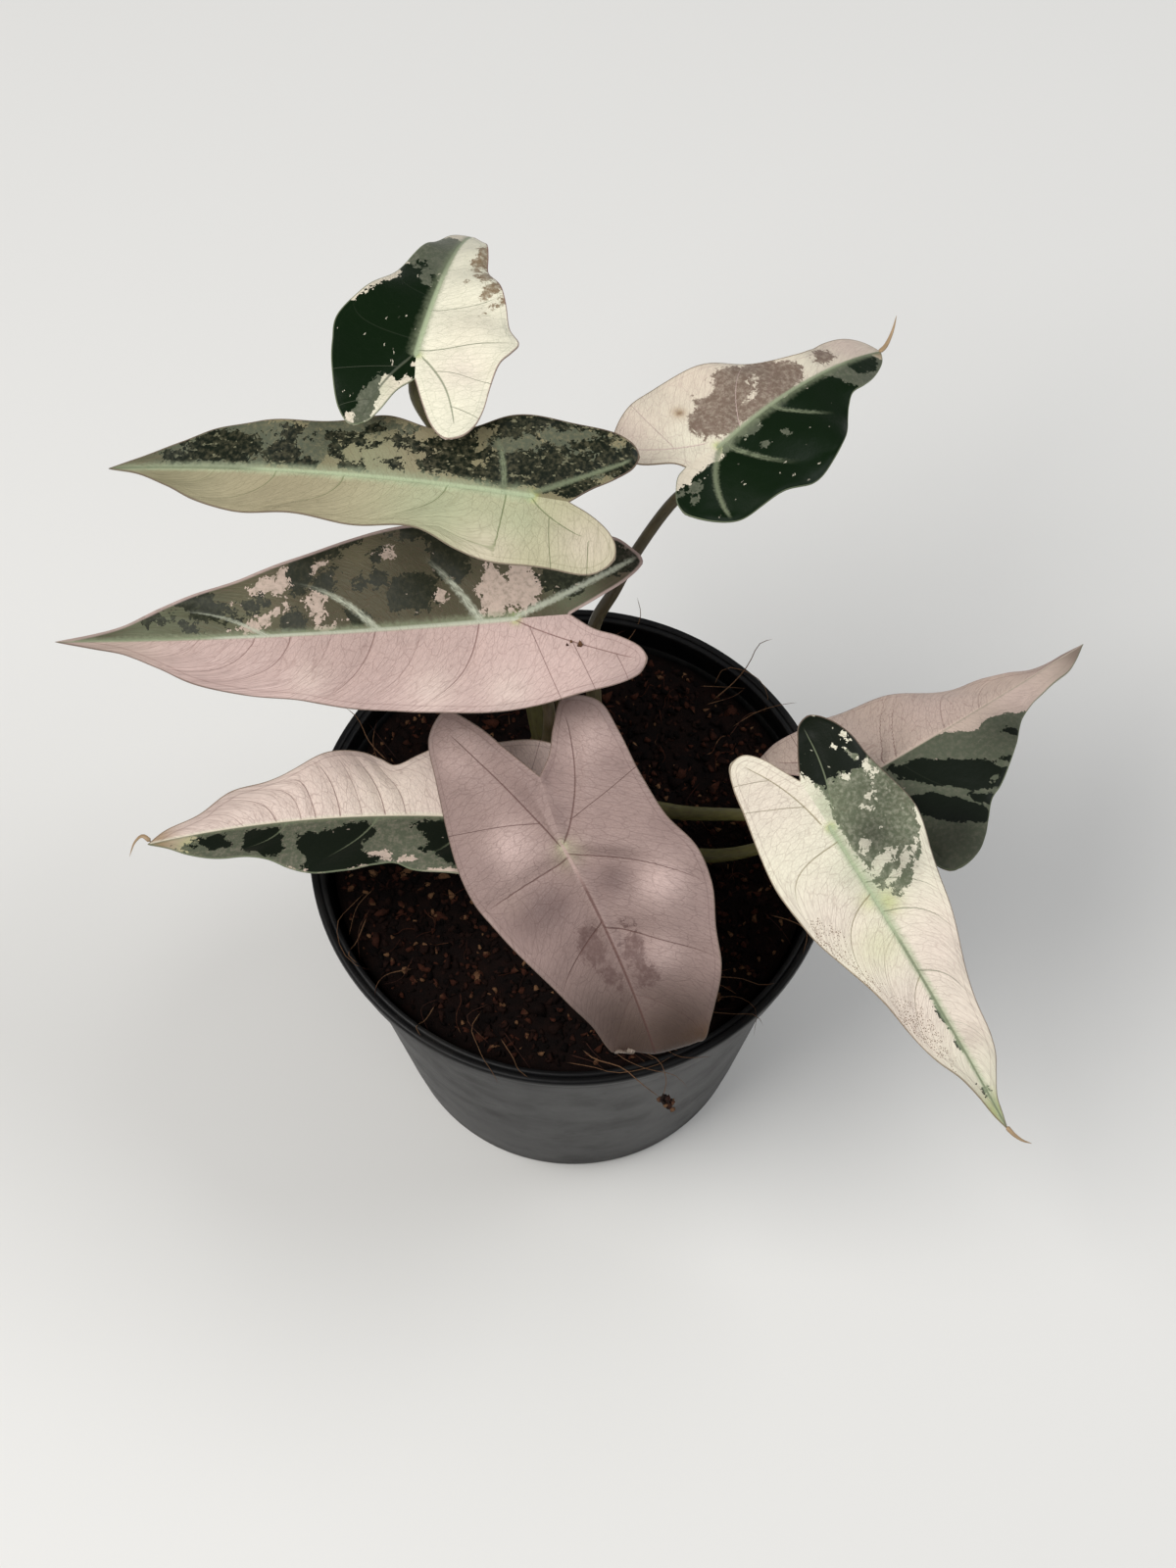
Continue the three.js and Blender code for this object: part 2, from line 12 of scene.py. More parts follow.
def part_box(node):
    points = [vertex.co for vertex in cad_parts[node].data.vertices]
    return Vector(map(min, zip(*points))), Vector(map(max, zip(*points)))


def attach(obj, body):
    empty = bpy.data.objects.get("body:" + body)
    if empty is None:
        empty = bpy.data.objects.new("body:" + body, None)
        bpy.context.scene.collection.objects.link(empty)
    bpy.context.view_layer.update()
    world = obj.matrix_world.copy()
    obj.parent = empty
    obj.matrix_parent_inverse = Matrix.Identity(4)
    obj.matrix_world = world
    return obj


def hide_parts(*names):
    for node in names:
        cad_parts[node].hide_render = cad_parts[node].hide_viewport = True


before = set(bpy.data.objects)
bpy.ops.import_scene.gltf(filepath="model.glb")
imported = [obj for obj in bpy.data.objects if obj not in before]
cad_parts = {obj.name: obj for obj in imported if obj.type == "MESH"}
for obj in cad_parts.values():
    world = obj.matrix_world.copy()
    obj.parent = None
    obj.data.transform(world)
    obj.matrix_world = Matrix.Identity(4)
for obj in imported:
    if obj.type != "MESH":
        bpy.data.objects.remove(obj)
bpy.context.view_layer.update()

bl_info = {
    "name": "Potted Variegated Bambino Alocasia",
    "version": (1, 0, 0),
    "blender": (4, 5, 0),
    "location": "3D View > Sidebar > Plant",
    "description": "Leaves, stalks, crown, potting mix and pot of a variegated bambino alocasia",
    "category": "Object",
}

BODY = "root"
MM = 0.001
FULL_TURN = 2.0 * math.pi
MERGE_DISTANCE = 1e-7
POT_MERGE_DISTANCE = 1e-6
SEAM_DISTANCE = 2e-5

# Mesh fineness
BLADE_ROWS = 156
LOBE_ROWS = 30
BLADE_COLUMNS = 28
MIDRIB_STEP = 0.5
CURVE_STEPS = 24
STALK_SIDES = 24
STALK_STEPS = 90
POT_SIDES = 192
DRAIN_SIDES = 32
CROWN_SIDES = 48
CROWN_RINGS = 44
MIX_SIDES = 144
MIX_RINGS = 40
FIBRE_SIDES = 5
FIBRE_STEPS = 10
BATCH = 40

# Blade, in millimetres
BLADE_THICKNESS = 0.7
EDGE_THICKNESS = 0.4
MIDRIB_DEPTH = 1.1
MIDRIB_HALF_WIDTH = 2.0
COSTA_DEPTH = 0.6
LATERAL_DEPTH = 0.22
BLADE_HALF_WIDTH = 25.0
LOBE_LENGTH = 30.0
CALM_TIP_LENGTH = 30.0
CALM_EDGE_WIDTH = 6.0
EDGE_ROLL = 0.25
EDGE_ROLL_WIDTH = 1.4
EDGE_TAPER = 1.6
GROOVE_DEPTH = 0.35
GROOVE_WIDTH = 1.1
VEIN_GROOVE_WIDTH = 1.2
LATERAL_GROOVE = 0.25
LATERAL_QUILT_SHARE = 0.24
COSTA_GROOVE = 0.3
COSTA_QUILT = 0.6
COSTA_QUILT_WIDTH = 3.6
BACK_VEIN_WIDTH = 0.9
EDGE_WAVE_SHIFT = 0.9
MIDRIB_REACH = 60.0
BARE = -8.0
LOBE_VEIN_SPACING = 12.0
LOBE_VEIN_LEAN = 0.85
CURLED_TIP_RADIUS = 0.75
CURLED_TIP_STEPS = 16

# Stalks and crown, in millimetres
CROWN_PLACE = (0.0, 12.0)
CROWN_SCARS = 7
CROWN_SCRAPS = 9
SCRAP_FOOT = 117.5
SCRAP_TURN = 2.399
CROWN_SEED = 31
STALK_RING = 9.4
STALK_BASE_RADIUS = 2.9
STALK_TOP_RADIUS = 1.5
STALK_FOOT = 110.0
STALK_COLLAR = 123.0
STALK_NECK = 9.0
STALK_GAP = 0.3
STALK_SINK = 0.9
STALK_FOOT_SWELL = 0.14
STALK_FOOT_LENGTH = 9.0
STALK_END_SWELL = 0.5
STALK_END_LENGTH = 3.0

# Pot and mix, in metres and degrees; a chip's radius and pull are shares of its size
POT_LEDGE = 0.1125
POT_INSIDE_FOOT = 0.0516
POT_INSIDE_TOP = 0.073
SHARP_ANGLE = 50.0
MIX_SEED = 12
LUMP_SEEDS = (5, 6)
ROOTLET_SEED = 44
CHIP_RADIUS = 0.55
CHIP_PULL = 0.34
# Heights of the rings on the pot's wall, outside and inside, as shares of the wall's height
WALL_SHARES = (0.12, 0.25, 0.4, 0.55, 0.7, 0.85, 0.97)
INSIDE_SHARES = (0.75, 0.5, 0.25, 0.0)

# Stage, in metres, degrees and, for the camera's sensor, millimetres
FLOOR_HALF_SIZE = 4.0
LIGHT_AIM = (0.0, 0.0, 0.15)
CAMERA_PLACE = (0.0046175, -0.4493665, 1.0820876)
CAMERA_TILT = 26.0
SENSOR_WIDTH = 36.0


def leaf_row(**given):
    """A leaf of the table. What it leaves out has the value that most leaves share."""
    return {"curl_tip": None, "joint_colour": "lime", "sweep": 0, "hook": 0, "hook_from": 0, "hook_length": 1,
            "stalk": ("stalk_olive", "stalk_brown"), **given}


def leaf_half(**given):
    """One half of a blade in the table. What it leaves out has the value that most halves share."""
    return {"dark": [], "lit": [], "blotch": [], "bare": [], "specks": [], "shades": [],
            "dark_colour": "bottle", "blotch_colour": "silver", "bow": 0.65, "branches": 2.4, **given}


# The finish of both halves of the greyish leaf
GREYISH = dict(
    lateral="vein_dark", lateral_width=0.42, glow_width=0, net="plum", net_strength=0.5, costa_width=0.48,
    rag=2.2, mottle=0.6, blotch_softness=0.9, edge="mauve",
)

# Each leaf: its line and lean as in the imported model, its outline, and the markings of each half.
# Patches (dark, lit, blotch, bare and specks) are (x, y, half length, half width, turn), and the turn may be
# left out. Lit cuts into dark, and bare into blotch. Washes are (colour, x, y, radius, strength), puckers
# (x, y, radius, height) and shades (x, y, radius, amount). Shades darken the colour: mostly the leaf's own
# darker tone, and on leaf e painted shade. Some washes of leaves c and e are painted highlights and painted
# shade on the puckers. The laterals, the side veins, are (start on the midrib, lean towards the tip,
# strength).
# The rib is (colour near the joint, colour beyond, width, where it changes), and the costa, the lobe's own
# rib, is (start x, start y, end x, end y, bow). First and branches say where the costa's side veins begin,
# and how many there are. A finish feeds the material of its half.
LEAVES = [
    leaf_row(
        name="a", slot="leaf_green", seed=1, joint=(-39, 61, 285), heading=78, pitch=-4, roll=-2, droop=52,
        lobe_droop=4,
        fold=4, curl=1, wave=1.2, wave_length=26, quilt=0.5, tip=72, sinus=(-8, -1.5), base=135,
        route=[(-13, 34, 165), (-24, 50, 225), (-34, 53.5, 257)], stalk=("stalk_green", "stalk_olive"),
        rib=("mint", "pale_sage", 1.2, 30),
        puckers=[(8, -14, 7, 2), (-10, -12, 6, 1.4), (26, -8, 6, 1), (-2, -17, 5, -1.4), (44, -5, 5, 0.8)],
        left=leaf_half(
            margin=[(64, 4), (55, 6.5), (45, 8), (38, 10), (29, 13), (17, 18.5), (8, 23), (0, 22),
                (-10, 19.5), (-20, 15.5), (-24.5, 11)],
            inlet=[(-12, 2), (-19, 5), (-23, 7.4)], ground="cream",
            washes=[("ivory", -20, 5, 6, 0.8), ("mint", -12, 7, 4, 0.4)],
            dark_colour="forest", dark=[(7, 12, 26, 13.5), (23, 7, 9.5, 7), (-12, 16.5, 15, 6, -4),
                (19, 2.4, 9, 4), (-6, 0, 2.3, 2.3), (34, 6, 3.4, 1.6, 40), (30, 11, 5, 2.4, -24)],
            lit=[(25, 15.6, 10, 3.2, -22), (-17, 6.4, 9.5, 5, -6), (28, 3.6, 5, 1.6, 10), (38, 4, 6, 1.6)],
            blotch=[(44, 4.6, 15, 7), (28, 3.4, 8, 3), (-14, 9.8, 11, 3.4, 4)],
            laterals=[(4, 8, 0.2), (20, 12, 0.15)], costa=(-0.5, 0.5, -22, 9, -1.5), first=5,
            finish=dict(lateral="silver", lateral_width=0.3, flecks=0.3, glow="sage", glow_width=3.4,
                rag=1.1, net="sage", costa_width=0.9, edge="sage"),
        ),
        right=leaf_half(
            margin=[(65, -2), (59, -5), (53, -7), (45, -9), (36, -11), (27, -16), (20, -19), (13, -21.5),
                (8, -25), (4, -24), (0, -22), (-7, -21), (-14, -20.6), (-20, -19.4), (-23.4, -17.2),
                (-24.4, -14)],
            inlet=[(-16, -5.6), (-20.6, -8.4), (-23.6, -11.4)], ground="ivory",
            washes=[("cream_pink", -4, -13, 7, 0.4), ("cream", 10, -12, 8, 0.4)],
            blotch_colour="brown", blotch=[(42, -8.2, 7, 2.8, 4), (33, -11.4, 4.6, 2, -25),
                (27, -15.2, 3.6, 1.6, -35), (21, -18, 4, 1.8, -38)],
            bare=[(30, -13.4, 2.6, 1, -30), (37, -9.4, 1.4, 1)],
            laterals=[(1, 7, 1), (15, 8, 0.8), (33, 10, 0.4)], bow=0.3,
            costa=(-0.5, -1.5, -20, -14.5, -1.8), first=6,
            finish=dict(lateral="sage", lateral_width=0.34, glow="pale_sage", glow_width=2.2, rag=2.2,
                blotch_softness=0.3, mottle=0.55, net="pale_sage", costa_width=0.7, edge="vein_red"),
        ),
    ),
    leaf_row(
        name="b", slot="leaf_green", seed=2, joint=(-10, 25, 275), heading=171, pitch=2, roll=1, droop=20,
        lobe_droop=6,
        fold=9, curl=1.5, wave=1.1, wave_length=30, quilt=0.7, tip=112, sinus=(-10, 0), base=90,
        route=[(-4, 36, 165), (-11, 49, 222), (-12, 44, 248)], rib=("mint", "sage", 1.3, 72),
        puckers=[(10, 13, 6, 0.4), (30, -9, 7, 0.4), (-10, 12, 6, 0.4)],
        left=leaf_half(
            margin=[(103, 2), (94, 6), (85, 11), (76, 13), (63, 13.5), (46, 15), (27, 15), (16, 19),
                (4, 22), (-9, 21.5), (-19, 20), (-23.4, 15.5)],
            inlet=[(-16, 3), (-21, 7), (-23.4, 11)], ground="beige",
            washes=[("beige_pink", 64, 9, 34, 0.95), ("moss", 96, 3, 13, 0.7),
                ("cream_pink", -17, 12, 9, 0.4), ("mint", 22, 6, 14, 0.5), ("mint", 2, 8, 8, 0.4),
                ("cream_pink", 8, 19, 8, 0.3)],
            laterals=[(6, 0, 1), (21, 24, 0.9), (34, 22, 0.3), (47.6, 20, 0.8), (65.5, 24, 0.8),
                (82, 24, 0.4)], bow=0.8, costa=(-0.5, 0.5, -15, 10, -1.2), first=7,
            finish=dict(lateral="vein_green", lateral_width=0.34, glow="mint", glow_width=3.4, net="moss",
                net_strength=0.4, costa_width=0.36, edge="mauve"),
        ),
        right=leaf_half(
            margin=[(103, -3), (92, -7), (83, -12), (73, -13.5), (60, -14), (41, -17), (28, -15), (18, -17),
                (8, -21), (-6, -22.5), (-15, -22), (-21, -20), (-25.2, -16.5)],
            inlet=[(-15, -4.4), (-20, -8), (-24.6, -12.6)], ground="moss",
            washes=[("pale_sage", 40, -3, 10, 0.4), ("beige_pink", 28, -8, 9, 0.6),
                ("silver", 98, -2, 12, 0.7)],
            dark=[(81, -6.2, 11.5, 5.4), (91, -2.6, 4.6, 1.6), (65, -4.6, 5, 4), (60, -1.9, 3.8, 1.1),
                (63, -10.4, 4.2, 2.6), (58.5, -9.6, 3.4, 1.9), (54, -10.6, 3, 1.4), (48, -10.4, 5.4, 1.9),
                (50.5, -6.4, 2.2, 3.6), (43, -12, 4, 1.6, 20), (48, -2.4, 1.4, 0.9), (43, -3, 2, 1.1),
                (38, -4, 2.6, 1.3), (38, -10.4, 6, 1.5, 30), (33, -9.4, 6, 1.7, -8), (26, -10.6, 5, 2.2),
                (12, -10, 15, 8.4), (4, -13, 18, 10), (-12, -12, 16, 11), (-20, -9, 10, 9),
                (21, -5.4, 7, 3.2), (6, -6.4, 12, 4)],
            lit=[(5, -13.4, 6.5, 1.7, 8), (-8, -18.2, 7.5, 1.9, 10), (14.5, -15.6, 3, 1.1),
                (-18, -8, 2.6, 1.3), (-13, -14.5, 4, 0.9, 30), (14, -7, 1.6, 0.6, 20),
                (0, -17, 3, 0.7, 10)],
            blotch=[(68, -8, 10, 6), (58, -7, 7, 6), (50, -14, 14, 3), (5, -13.4, 9, 3.4),
                (-8, -18, 10, 4.6), (-13, -13, 12, 6), (80, -6, 18, 8.4)],
            laterals=[(6.5, 6, 1), (27, 12, 0.12), (46, 14, 0.1), (66, 16, 0.1)], bow=0.5,
            costa=(-0.5, -1, -23.5, -14.5, 0.2), first=40,
            finish=dict(lateral="sage", lateral_width=1.5, feather=1.1, reach=0.85, glow="pale_sage",
                glow_width=3.8, rag=1.9, mottle=0.5, dark_mottle=0.3, flecks=0.9, net="brown",
                net_strength=0.3, costa_width=1.4, edge="mauve"),
        ),
    ),
    leaf_row(
        name="c", slot="leaf_pink", seed=3, joint=(-15, 17, 225), heading=186, pitch=0, roll=-16,
        sweep=-15.5, droop=18, lobe_droop=6,
        fold=9.5, curl=1.5, wave=1.3, wave_length=34, quilt=0.9, tip=126, sinus=(-15, 0), base=180,
        route=[(-7.5, 12.5, 150), (-6, 11.5, 172), (-6.5, 9.5, 195)],
        rib=("vein_white", "pale_sage", 1.1, 80),
        puckers=[(22, 18, 6, 1), (3, 20, 6, 1), (54, 13, 5, 0.8), (37, 16, 6, 0.5), (-22, 14, 6, 0.6)],
        left=leaf_half(
            margin=[(115, 2), (105, 4), (95, 8), (84, 13), (71, 16), (58, 18), (45, 21), (32, 22.5),
                (22, 24), (10, 25), (-5, 24), (-17, 21.8), (-24, 20.4), (-29, 18.8), (-32.6, 16.8),
                (-34.2, 13.4)],
            inlet=[(-21, 4.4), (-27, 6.6), (-32, 9.4), (-33.6, 11.2)], ground="shell_pink",
            # Painted highlights: the three cream pink washes at (22, 18), (3, 20) and (54, 13) lighten the
            # puckers' bulges.
            washes=[("dusky_pink", 44, 8, 14, 0.2), ("cream_pink", 22, 18, 6, 0.6),
                ("cream_pink", 3, 20, 6, 0.6), ("rose_cream", 108, 0, 14, 0.8),
                ("dusky_pink", -28, 10, 8, 0.3), ("cream_pink", 54, 13, 5, 0.5)],
            laterals=[(9, 17, 1), (24, 19, 0.4), (36.3, 20, 0.9), (48, 17, 0.45), (59, 16, 0.85),
                (68.5, 24, 0.8), (84, 30, 0.5)], costa=(-0.5, 0.5, -31, 13, -1), first=4,
            finish=dict(lateral="vein_red", lateral_width=0.4, glow="rose_cream", glow_width=1.2,
                net="vein_red", net_strength=0.45, costa_width=0.36, edge="mauve"),
        ),
        right=leaf_half(
            margin=[(114, -2), (106, -4), (95, -8), (84, -12.5), (71, -16), (57, -20), (43, -24.5),
                (29, -26.5), (13, -26.5), (-3, -24), (-17, -22), (-28, -20), (-32, -17), (-35, -13)],
            inlet=[(-23, -4), (-31, -8.6)], ground="olive",
            washes=[("sage", 98, -4, 16, 0.7), ("sage", 72, -2, 9, 0.4), ("moss", 68, -10, 9, 0.3),
                ("moss", 40, -21, 7, 0.4), ("sage", -16, -6, 6, 0.6), ("shell_pink", -35, -16, 5, 0.7)],
            dark_colour="dark_olive", dark=[(35, -13, 2.6, 2.6), (40, -12.4, 2, 1.9), (35, -19, 2.9, 2.2),
                (26, -9, 6.4, 5.6), (40, -4, 3, 2.4), (56, -16, 3.6, 5), (58.6, -3, 3.6, 4),
                (15, -18, 6, 6), (-14, -10, 7, 5), (-29, -14, 7, 4.4), (82, -8, 9, 3.2, -20),
                (49, -14, 4, 3), (70, -8, 4, 2), (92, -5, 6, 1.6, -14), (-8, -19, 8, 4),
                (47, -22, 6, 2, 20), (22, -24, 8, 1.8)],
            lit=[(-30, -19.6, 6, 1.7, -24), (-22, -5, 8, 1.4, 10)],
            blotch_colour="rose_cream", blotch=[(62, -13.6, 8, 2.4, 18), (51, -7.5, 2.2, 4.6, 12),
                (66, -4.6, 6, 1.2, 24), (48, -2, 2.4, 0.9, 20), (57, -15.4, 3, 1.2), (34, -20, 2.4, 0.8),
                (4, -7.6, 4.6, 6.4), (-3, -7.6, 4.6, 6.4), (19, -8, 1.4, 1), (-30, -19.6, 6, 1.8, -24)],
            laterals=[(8, 19, 1), (36, 27, 1), (66, 37, 0.9)], bow=0.2, costa=(-0.5, -0.5, -33, -14, 0.5),
            first=40,
            finish=dict(lateral="vein_white", lateral_width=2.4, feather=1.6, reach=0.72, glow="pale_sage",
                glow_width=3.2, rag=2.2, mottle=0.45, dark_mottle=0.35, flecks=0.45, net="vein_red",
                net_strength=0.2, costa_width=1.1, edge="shell_pink", edge_width=1),
        ),
    ),
    leaf_row(
        name="d", slot="leaf_cream", seed=4, joint=(-21, -14, 168), heading=174.5, pitch=-2, roll=3,
        sweep=12, droop=14, lobe_droop=4,
        fold=15, curl=1.5, wave=1.4, wave_length=29, quilt=0.7, tip=98, sinus=(-12, 0), base=225,
        route=[(-10, 3.5, 132), (-16, -4, 152)], rib=("cream", "cream", 0.5, 200),
        curl_tip=[(97, -0.6, 0.2), (99, -2.4, 1.2), (101.5, -1.4, 0.6), (104, 2, -1)],
        puckers=[(29, -14, 4, -1), (41, -14, 7, 0.8), (18, -14, 6, 0.6), (60, -8, 7, 0.4)],
        left=leaf_half(
            margin=[(92, 3), (86, 6.5), (76, 10), (62, 13), (56, 16), (47, 19), (38, 19.4), (32, 17.4),
                (26, 16), (21, 18.4), (14, 20), (4, 20.6), (-6, 20), (-17, 18.5), (-25, 12)],
            inlet=[(-17, 2.5), (-23, 6.5)], ground="rose_cream",
            washes=[("tan", 95, 1, 5, 0.9), ("lime", 85, 4, 5, 0.5)],
            dark=[(62.5, 5.4, 8, 6.4), (77.5, 3.8, 6.6, 3, -8), (40, 10.8, 10.5, 9), (50.5, 9.4, 4.6, 4.6),
                (13, 6.4, 13.5, 7), (0, 11, 17, 8), (46, 16, 7, 3, -10)],
            lit=[(26.5, 9.6, 8.8, 5.2, 14), (56.8, 3.4, 2.2, 6.6, 12), (55, 13.6, 3.4, 2.2),
                (48, 1.4, 9, 2.4), (28, 1.2, 14, 1.9), (73, 3.4, 1.5, 3, 30), (66, 0.6, 6, 0.8)],
            blotch=[(40, 8.5, 47, 13), (10, 10, 30, 13), (70, 7, 19, 6, -14)],
            bare=[(31, 13.8, 3.4, 1.2), (23.5, 14.8, 3, 0.9), (38, 19.2, 16, 1.3, -1),
                (50, 18, 5.4, 1.2, -14), (89, 1.4, 5, 2.2), (6, 20, 14, 1.2)],
            laterals=[(7.4, 12, 0.7), (31.7, 30, 0.8), (57.5, 22, 0.7)], costa=(-2, 2, -23, 12, -1),
            first=5,
            finish=dict(lateral="sage", lateral_width=0.6, feather=0.5, reach=0.8, glow="sage",
                glow_width=2.6, rag=1.2, mottle=0.2, flecks=0.15, net="sage", edge="sage", edge_width=0.4,
                costa_width=0.7),
        ),
        right=leaf_half(
            margin=[(92, -2.8), (81, -5.6), (72, -10), (63, -12.4), (54, -15), (45, -18), (37, -18.4),
                (32, -16.6), (28, -14.4), (22, -16.2), (14, -19.5), (1, -22), (-11, -22), (-20, -19.5),
                (-24, -14)],
            inlet=[(-16, -3), (-22, -8)], ground="cream_pink",
            washes=[("shell_pink", 40, -18, 8, 0.5), ("dusky_pink", 80, -7, 7, 0.3),
                ("tan", 95, -1, 5, 0.8), ("shell_pink", 6, -16, 12, 0.5), ("ivory", 30, -3, 14, 0.25),
                ("shell_pink", -18, -12, 12, 1)],
            laterals=[(10, 9, 0.6), (24.5, 9, 0.7), (30, 13, 1), (36.5, 12, 0.6), (42.5, 9, 0.9),
                (49.6, 8, 0.9), (53.5, 8, 0.7), (60.5, 14, 0.9), (70, 20, 0.5)],
            costa=(-2, -2, -22, -13, 1), first=5,
            finish=dict(lateral="vein_red", lateral_width=0.3, glow="ivory", glow_width=1.4, net="vein_red",
                net_strength=0.5, costa_width=0.4, edge="brown"),
        ),
    ),
    leaf_row(
        name="e", slot="leaf_pink", seed=5, joint=(-2, -33, 190), heading=299.5, pitch=-10.5, roll=22,
        sweep=-3, droop=50, lobe_droop=4,
        hook=115, hook_from=60, hook_length=8,
        fold=-10, curl=1, wave=1.2, wave_length=32, quilt=2.2, tip=74, sinus=(-20, 4), base=275,
        route=[(2.5, -3, 138), (5, -14, 166), (3, -25, 180)], rib=("dusky_pink", "vein_dark", 0.7, 10),
        joint_colour="beige",
        puckers=[(-38, -13, 8, 1.8), (-26, 21, 8, 2), (-10, -13, 8, 1.8), (20, 18, 8, 2.6),
            (36, 10, 7, 1.8), (8, -17, 9, 1.6), (15, 6, 7, -1.4), (45, -10, 8, 1), (-18, 5, 7, -1),
            (13, -8, 6, -1.2), (-6, 15, 7, -0.8), (-31, -12, 7, 0.8), (6, 17, 7, 0.9), (30, 5, 5, -0.6)],
        left=leaf_half(
            margin=[(71, 5), (68, 10), (63, 14), (55, 19), (46, 24), (36, 26.5), (26, 30), (16, 31),
                (5, 27.5), (-7, 27), (-20, 28), (-31, 27), (-36, 20)],
            inlet=[(-24, 9), (-30, 13.5)], ground="smoke",
            # Painted highlights: the shell pink washes lighten the bulges. The violet washes are the leaf's
            # violet tint with painted shade in its hollows.
            washes=[("shell_pink", -24, 20.5, 8, 0.65), ("shell_pink", 20, 19, 6, 0.85),
                ("shell_pink", 37, 10.5, 5, 0.8), ("violet_and_hollow_shade", 14, 7, 5.5, 0.6), ("violet_and_hollow_shade", -20, 5, 5, 0.4),
                ("violet_and_hollow_shade", -9, 1, 4, 0.4), ("violet_and_hollow_shade", -14, 22, 5, 0.2), ("violet_and_hollow_shade", 38, 4, 8, 0.35),
                ("taupe", 62, 4, 19, 0.9), ("dry", 65, 13, 5, 0.9), ("beige", 2, 0.5, 3.5, 0.4),
                ("violet_and_hollow_shade", 8, 27, 5, 0.25)],
            blotch_colour="plum", blotch=[(34, 4.6, 9, 2.8), (40, 3.4, 6, 2.2)],
            bare=[(38, 9.6, 8, 3, 8)],
            # Painted shade: these darken a hollow near the midrib and the drooping end, over the end's own
            # taupe.
            shades=[(59, 8, 13, 0.45), (12, 9, 5, 0.12)],
            laterals=[(2, 20, 1), (24, 24, 1), (44, 20, 0.4)], bow=0.1, costa=(-0.5, 0.5, -31, 18, -2.2),
            first=7, branches=0.6,
            finish=GREYISH,
        ),
        right=leaf_half(
            margin=[(71, -4), (67, -8), (59, -12), (51, -14), (42, -18.5), (25, -24), (12, -28), (0, -30),
                (-12, -29), (-24, -26.5), (-37, -21.5), (-48, -17), (-51, -10)],
            inlet=[(-31, 0), (-42, -4)], ground="smoke",
            # Painted highlights: the shell pink washes and the small rose cream wash lighten the bulges. The
            # violet washes are the leaf's violet tint with painted shade in its hollows.
            washes=[("shell_pink", -39, -11.4, 8, 0.65), ("shell_pink", -8, -13.5, 7, 0.85),
                ("rose_cream", 6, -20, 4, 0.15), ("violet_and_hollow_shade", 13, -10, 7, 0.6), ("violet_and_hollow_shade", -6, -21, 5, 0.25),
                ("violet_and_hollow_shade", 30, -5, 8, 0.4), ("violet_and_hollow_shade", -18, -1, 5, 0.3), ("taupe", 60, -3, 19, 0.9),
                ("violet_and_hollow_shade", 14, -18, 9, 0.4), ("beige", 2, -0.5, 3.5, 0.4)],
            blotch_colour="plum", blotch=[(28, -5.6, 6.5, 3.4), (38, -4, 4.6, 2.2)],
            # Painted shade: these darken a hollow near the midrib and the drooping end, over the end's own
            # taupe.
            shades=[(46, -12, 13, 0.45), (62, -4, 12, 0.35), (12, -14, 9, 0.12)],
            laterals=[(3, 0, 1), (22.4, 15, 1), (44, 18, 0.4)], bow=0.1,
            costa=(-0.5, -0.5, -44, -11.5, 0.2), first=9, branches=0.6,
            finish=GREYISH,
        ),
    ),
    leaf_row(
        name="f", slot="leaf_cream", seed=6, joint=(39, 52, 255), heading=46.5, pitch=-1.5, roll=-3,
        sweep=-5, droop=38, lobe_droop=5,
        fold=-4, curl=1, wave=1.3, wave_length=24, quilt=0.7, tip=68, sinus=(-11, 2), base=45,
        route=[(6.3, 26, 160), (6.2, 34, 189), (11.8, 37.3, 204), (18, 41.6, 219), (28.4, 47.7, 236)],
        rib=("pale_sage", "sage", 0.9, 50),
        curl_tip=[(67, 0, 0.2), (70, 0.6, 1.6), (73, 2.4, 5), (74, 4.2, 9)],
        puckers=[(14, -14, 8, 0.6), (20, 12, 7, 0.5), (30, -10, 6, 0.4)],
        left=leaf_half(
            margin=[(66, 4.8), (62, 7.6), (53, 9.6), (46, 8.6), (41, 8.3), (37.4, 9.6), (30, 14.3),
                (24, 18), (18.5, 21.4), (12.8, 24.2), (5.8, 26.6), (-1.6, 27), (-7.2, 26.6), (-13, 25.2),
                (-17.5, 22.8), (-20, 19.4)],
            inlet=[(-12, 5), (-18, 12)], ground="cream",
            washes=[("ivory", -3, 6, 8, 0.7), ("shell_pink", -14, 22, 8, 0.4), ("tan", 1, 15.5, 1.8, 0.9),
                ("dry", 1, 15.5, 0.8, 0.9), ("shell_pink", 58, 5, 8, 0.5), ("rose_cream", 12, 21, 8, 0.3),
                ("ivory", 39, 4, 5, 0.5)],
            blotch_colour="mauve", blotch=[(19, 8.5, 16, 9, -8), (7, 7.6, 8, 6.6, 8),
                (28, 7.4, 9, 6.4, -22), (6, 3.6, 4.8, 3), (15, 2.8, 10, 2.4), (25, 3.4, 9, 2.8),
                (46.5, 4.8, 4.6, 3, 10)],
            bare=[(16.8, 5.6, 1.7, 0.9), (23.6, 9, 1.4, 0.7), (10.5, 16, 3, 2)],
            laterals=[(7.7, 23, 0.9), (30, 20, 0.3)], bow=0.2, costa=(-1, 3, -17, 20, 1.5), first=9,
            finish=dict(lateral="shell_pink", lateral_width=0.4, glow="pale_sage", glow_width=1.4,
                net="dusky_pink", net_strength=0.45, rag=1.5, mottle=0.3, blotch_softness=0.4,
                costa_width=0.4, edge="brown"),
        ),
        right=leaf_half(
            margin=[(64, -3.6), (57, -6.9), (48, -9.2), (43, -9.5), (39.5, -11.6), (36, -14.4),
                (32.3, -17.3), (28.2, -19.7), (23.5, -21.7), (18.7, -23.2), (14, -24), (10.2, -23.8),
                (6.5, -22.7), (2.5, -21.5), (-5.6, -19.9), (-12.5, -17.9), (-18.4, -13), (-21.1, -8)],
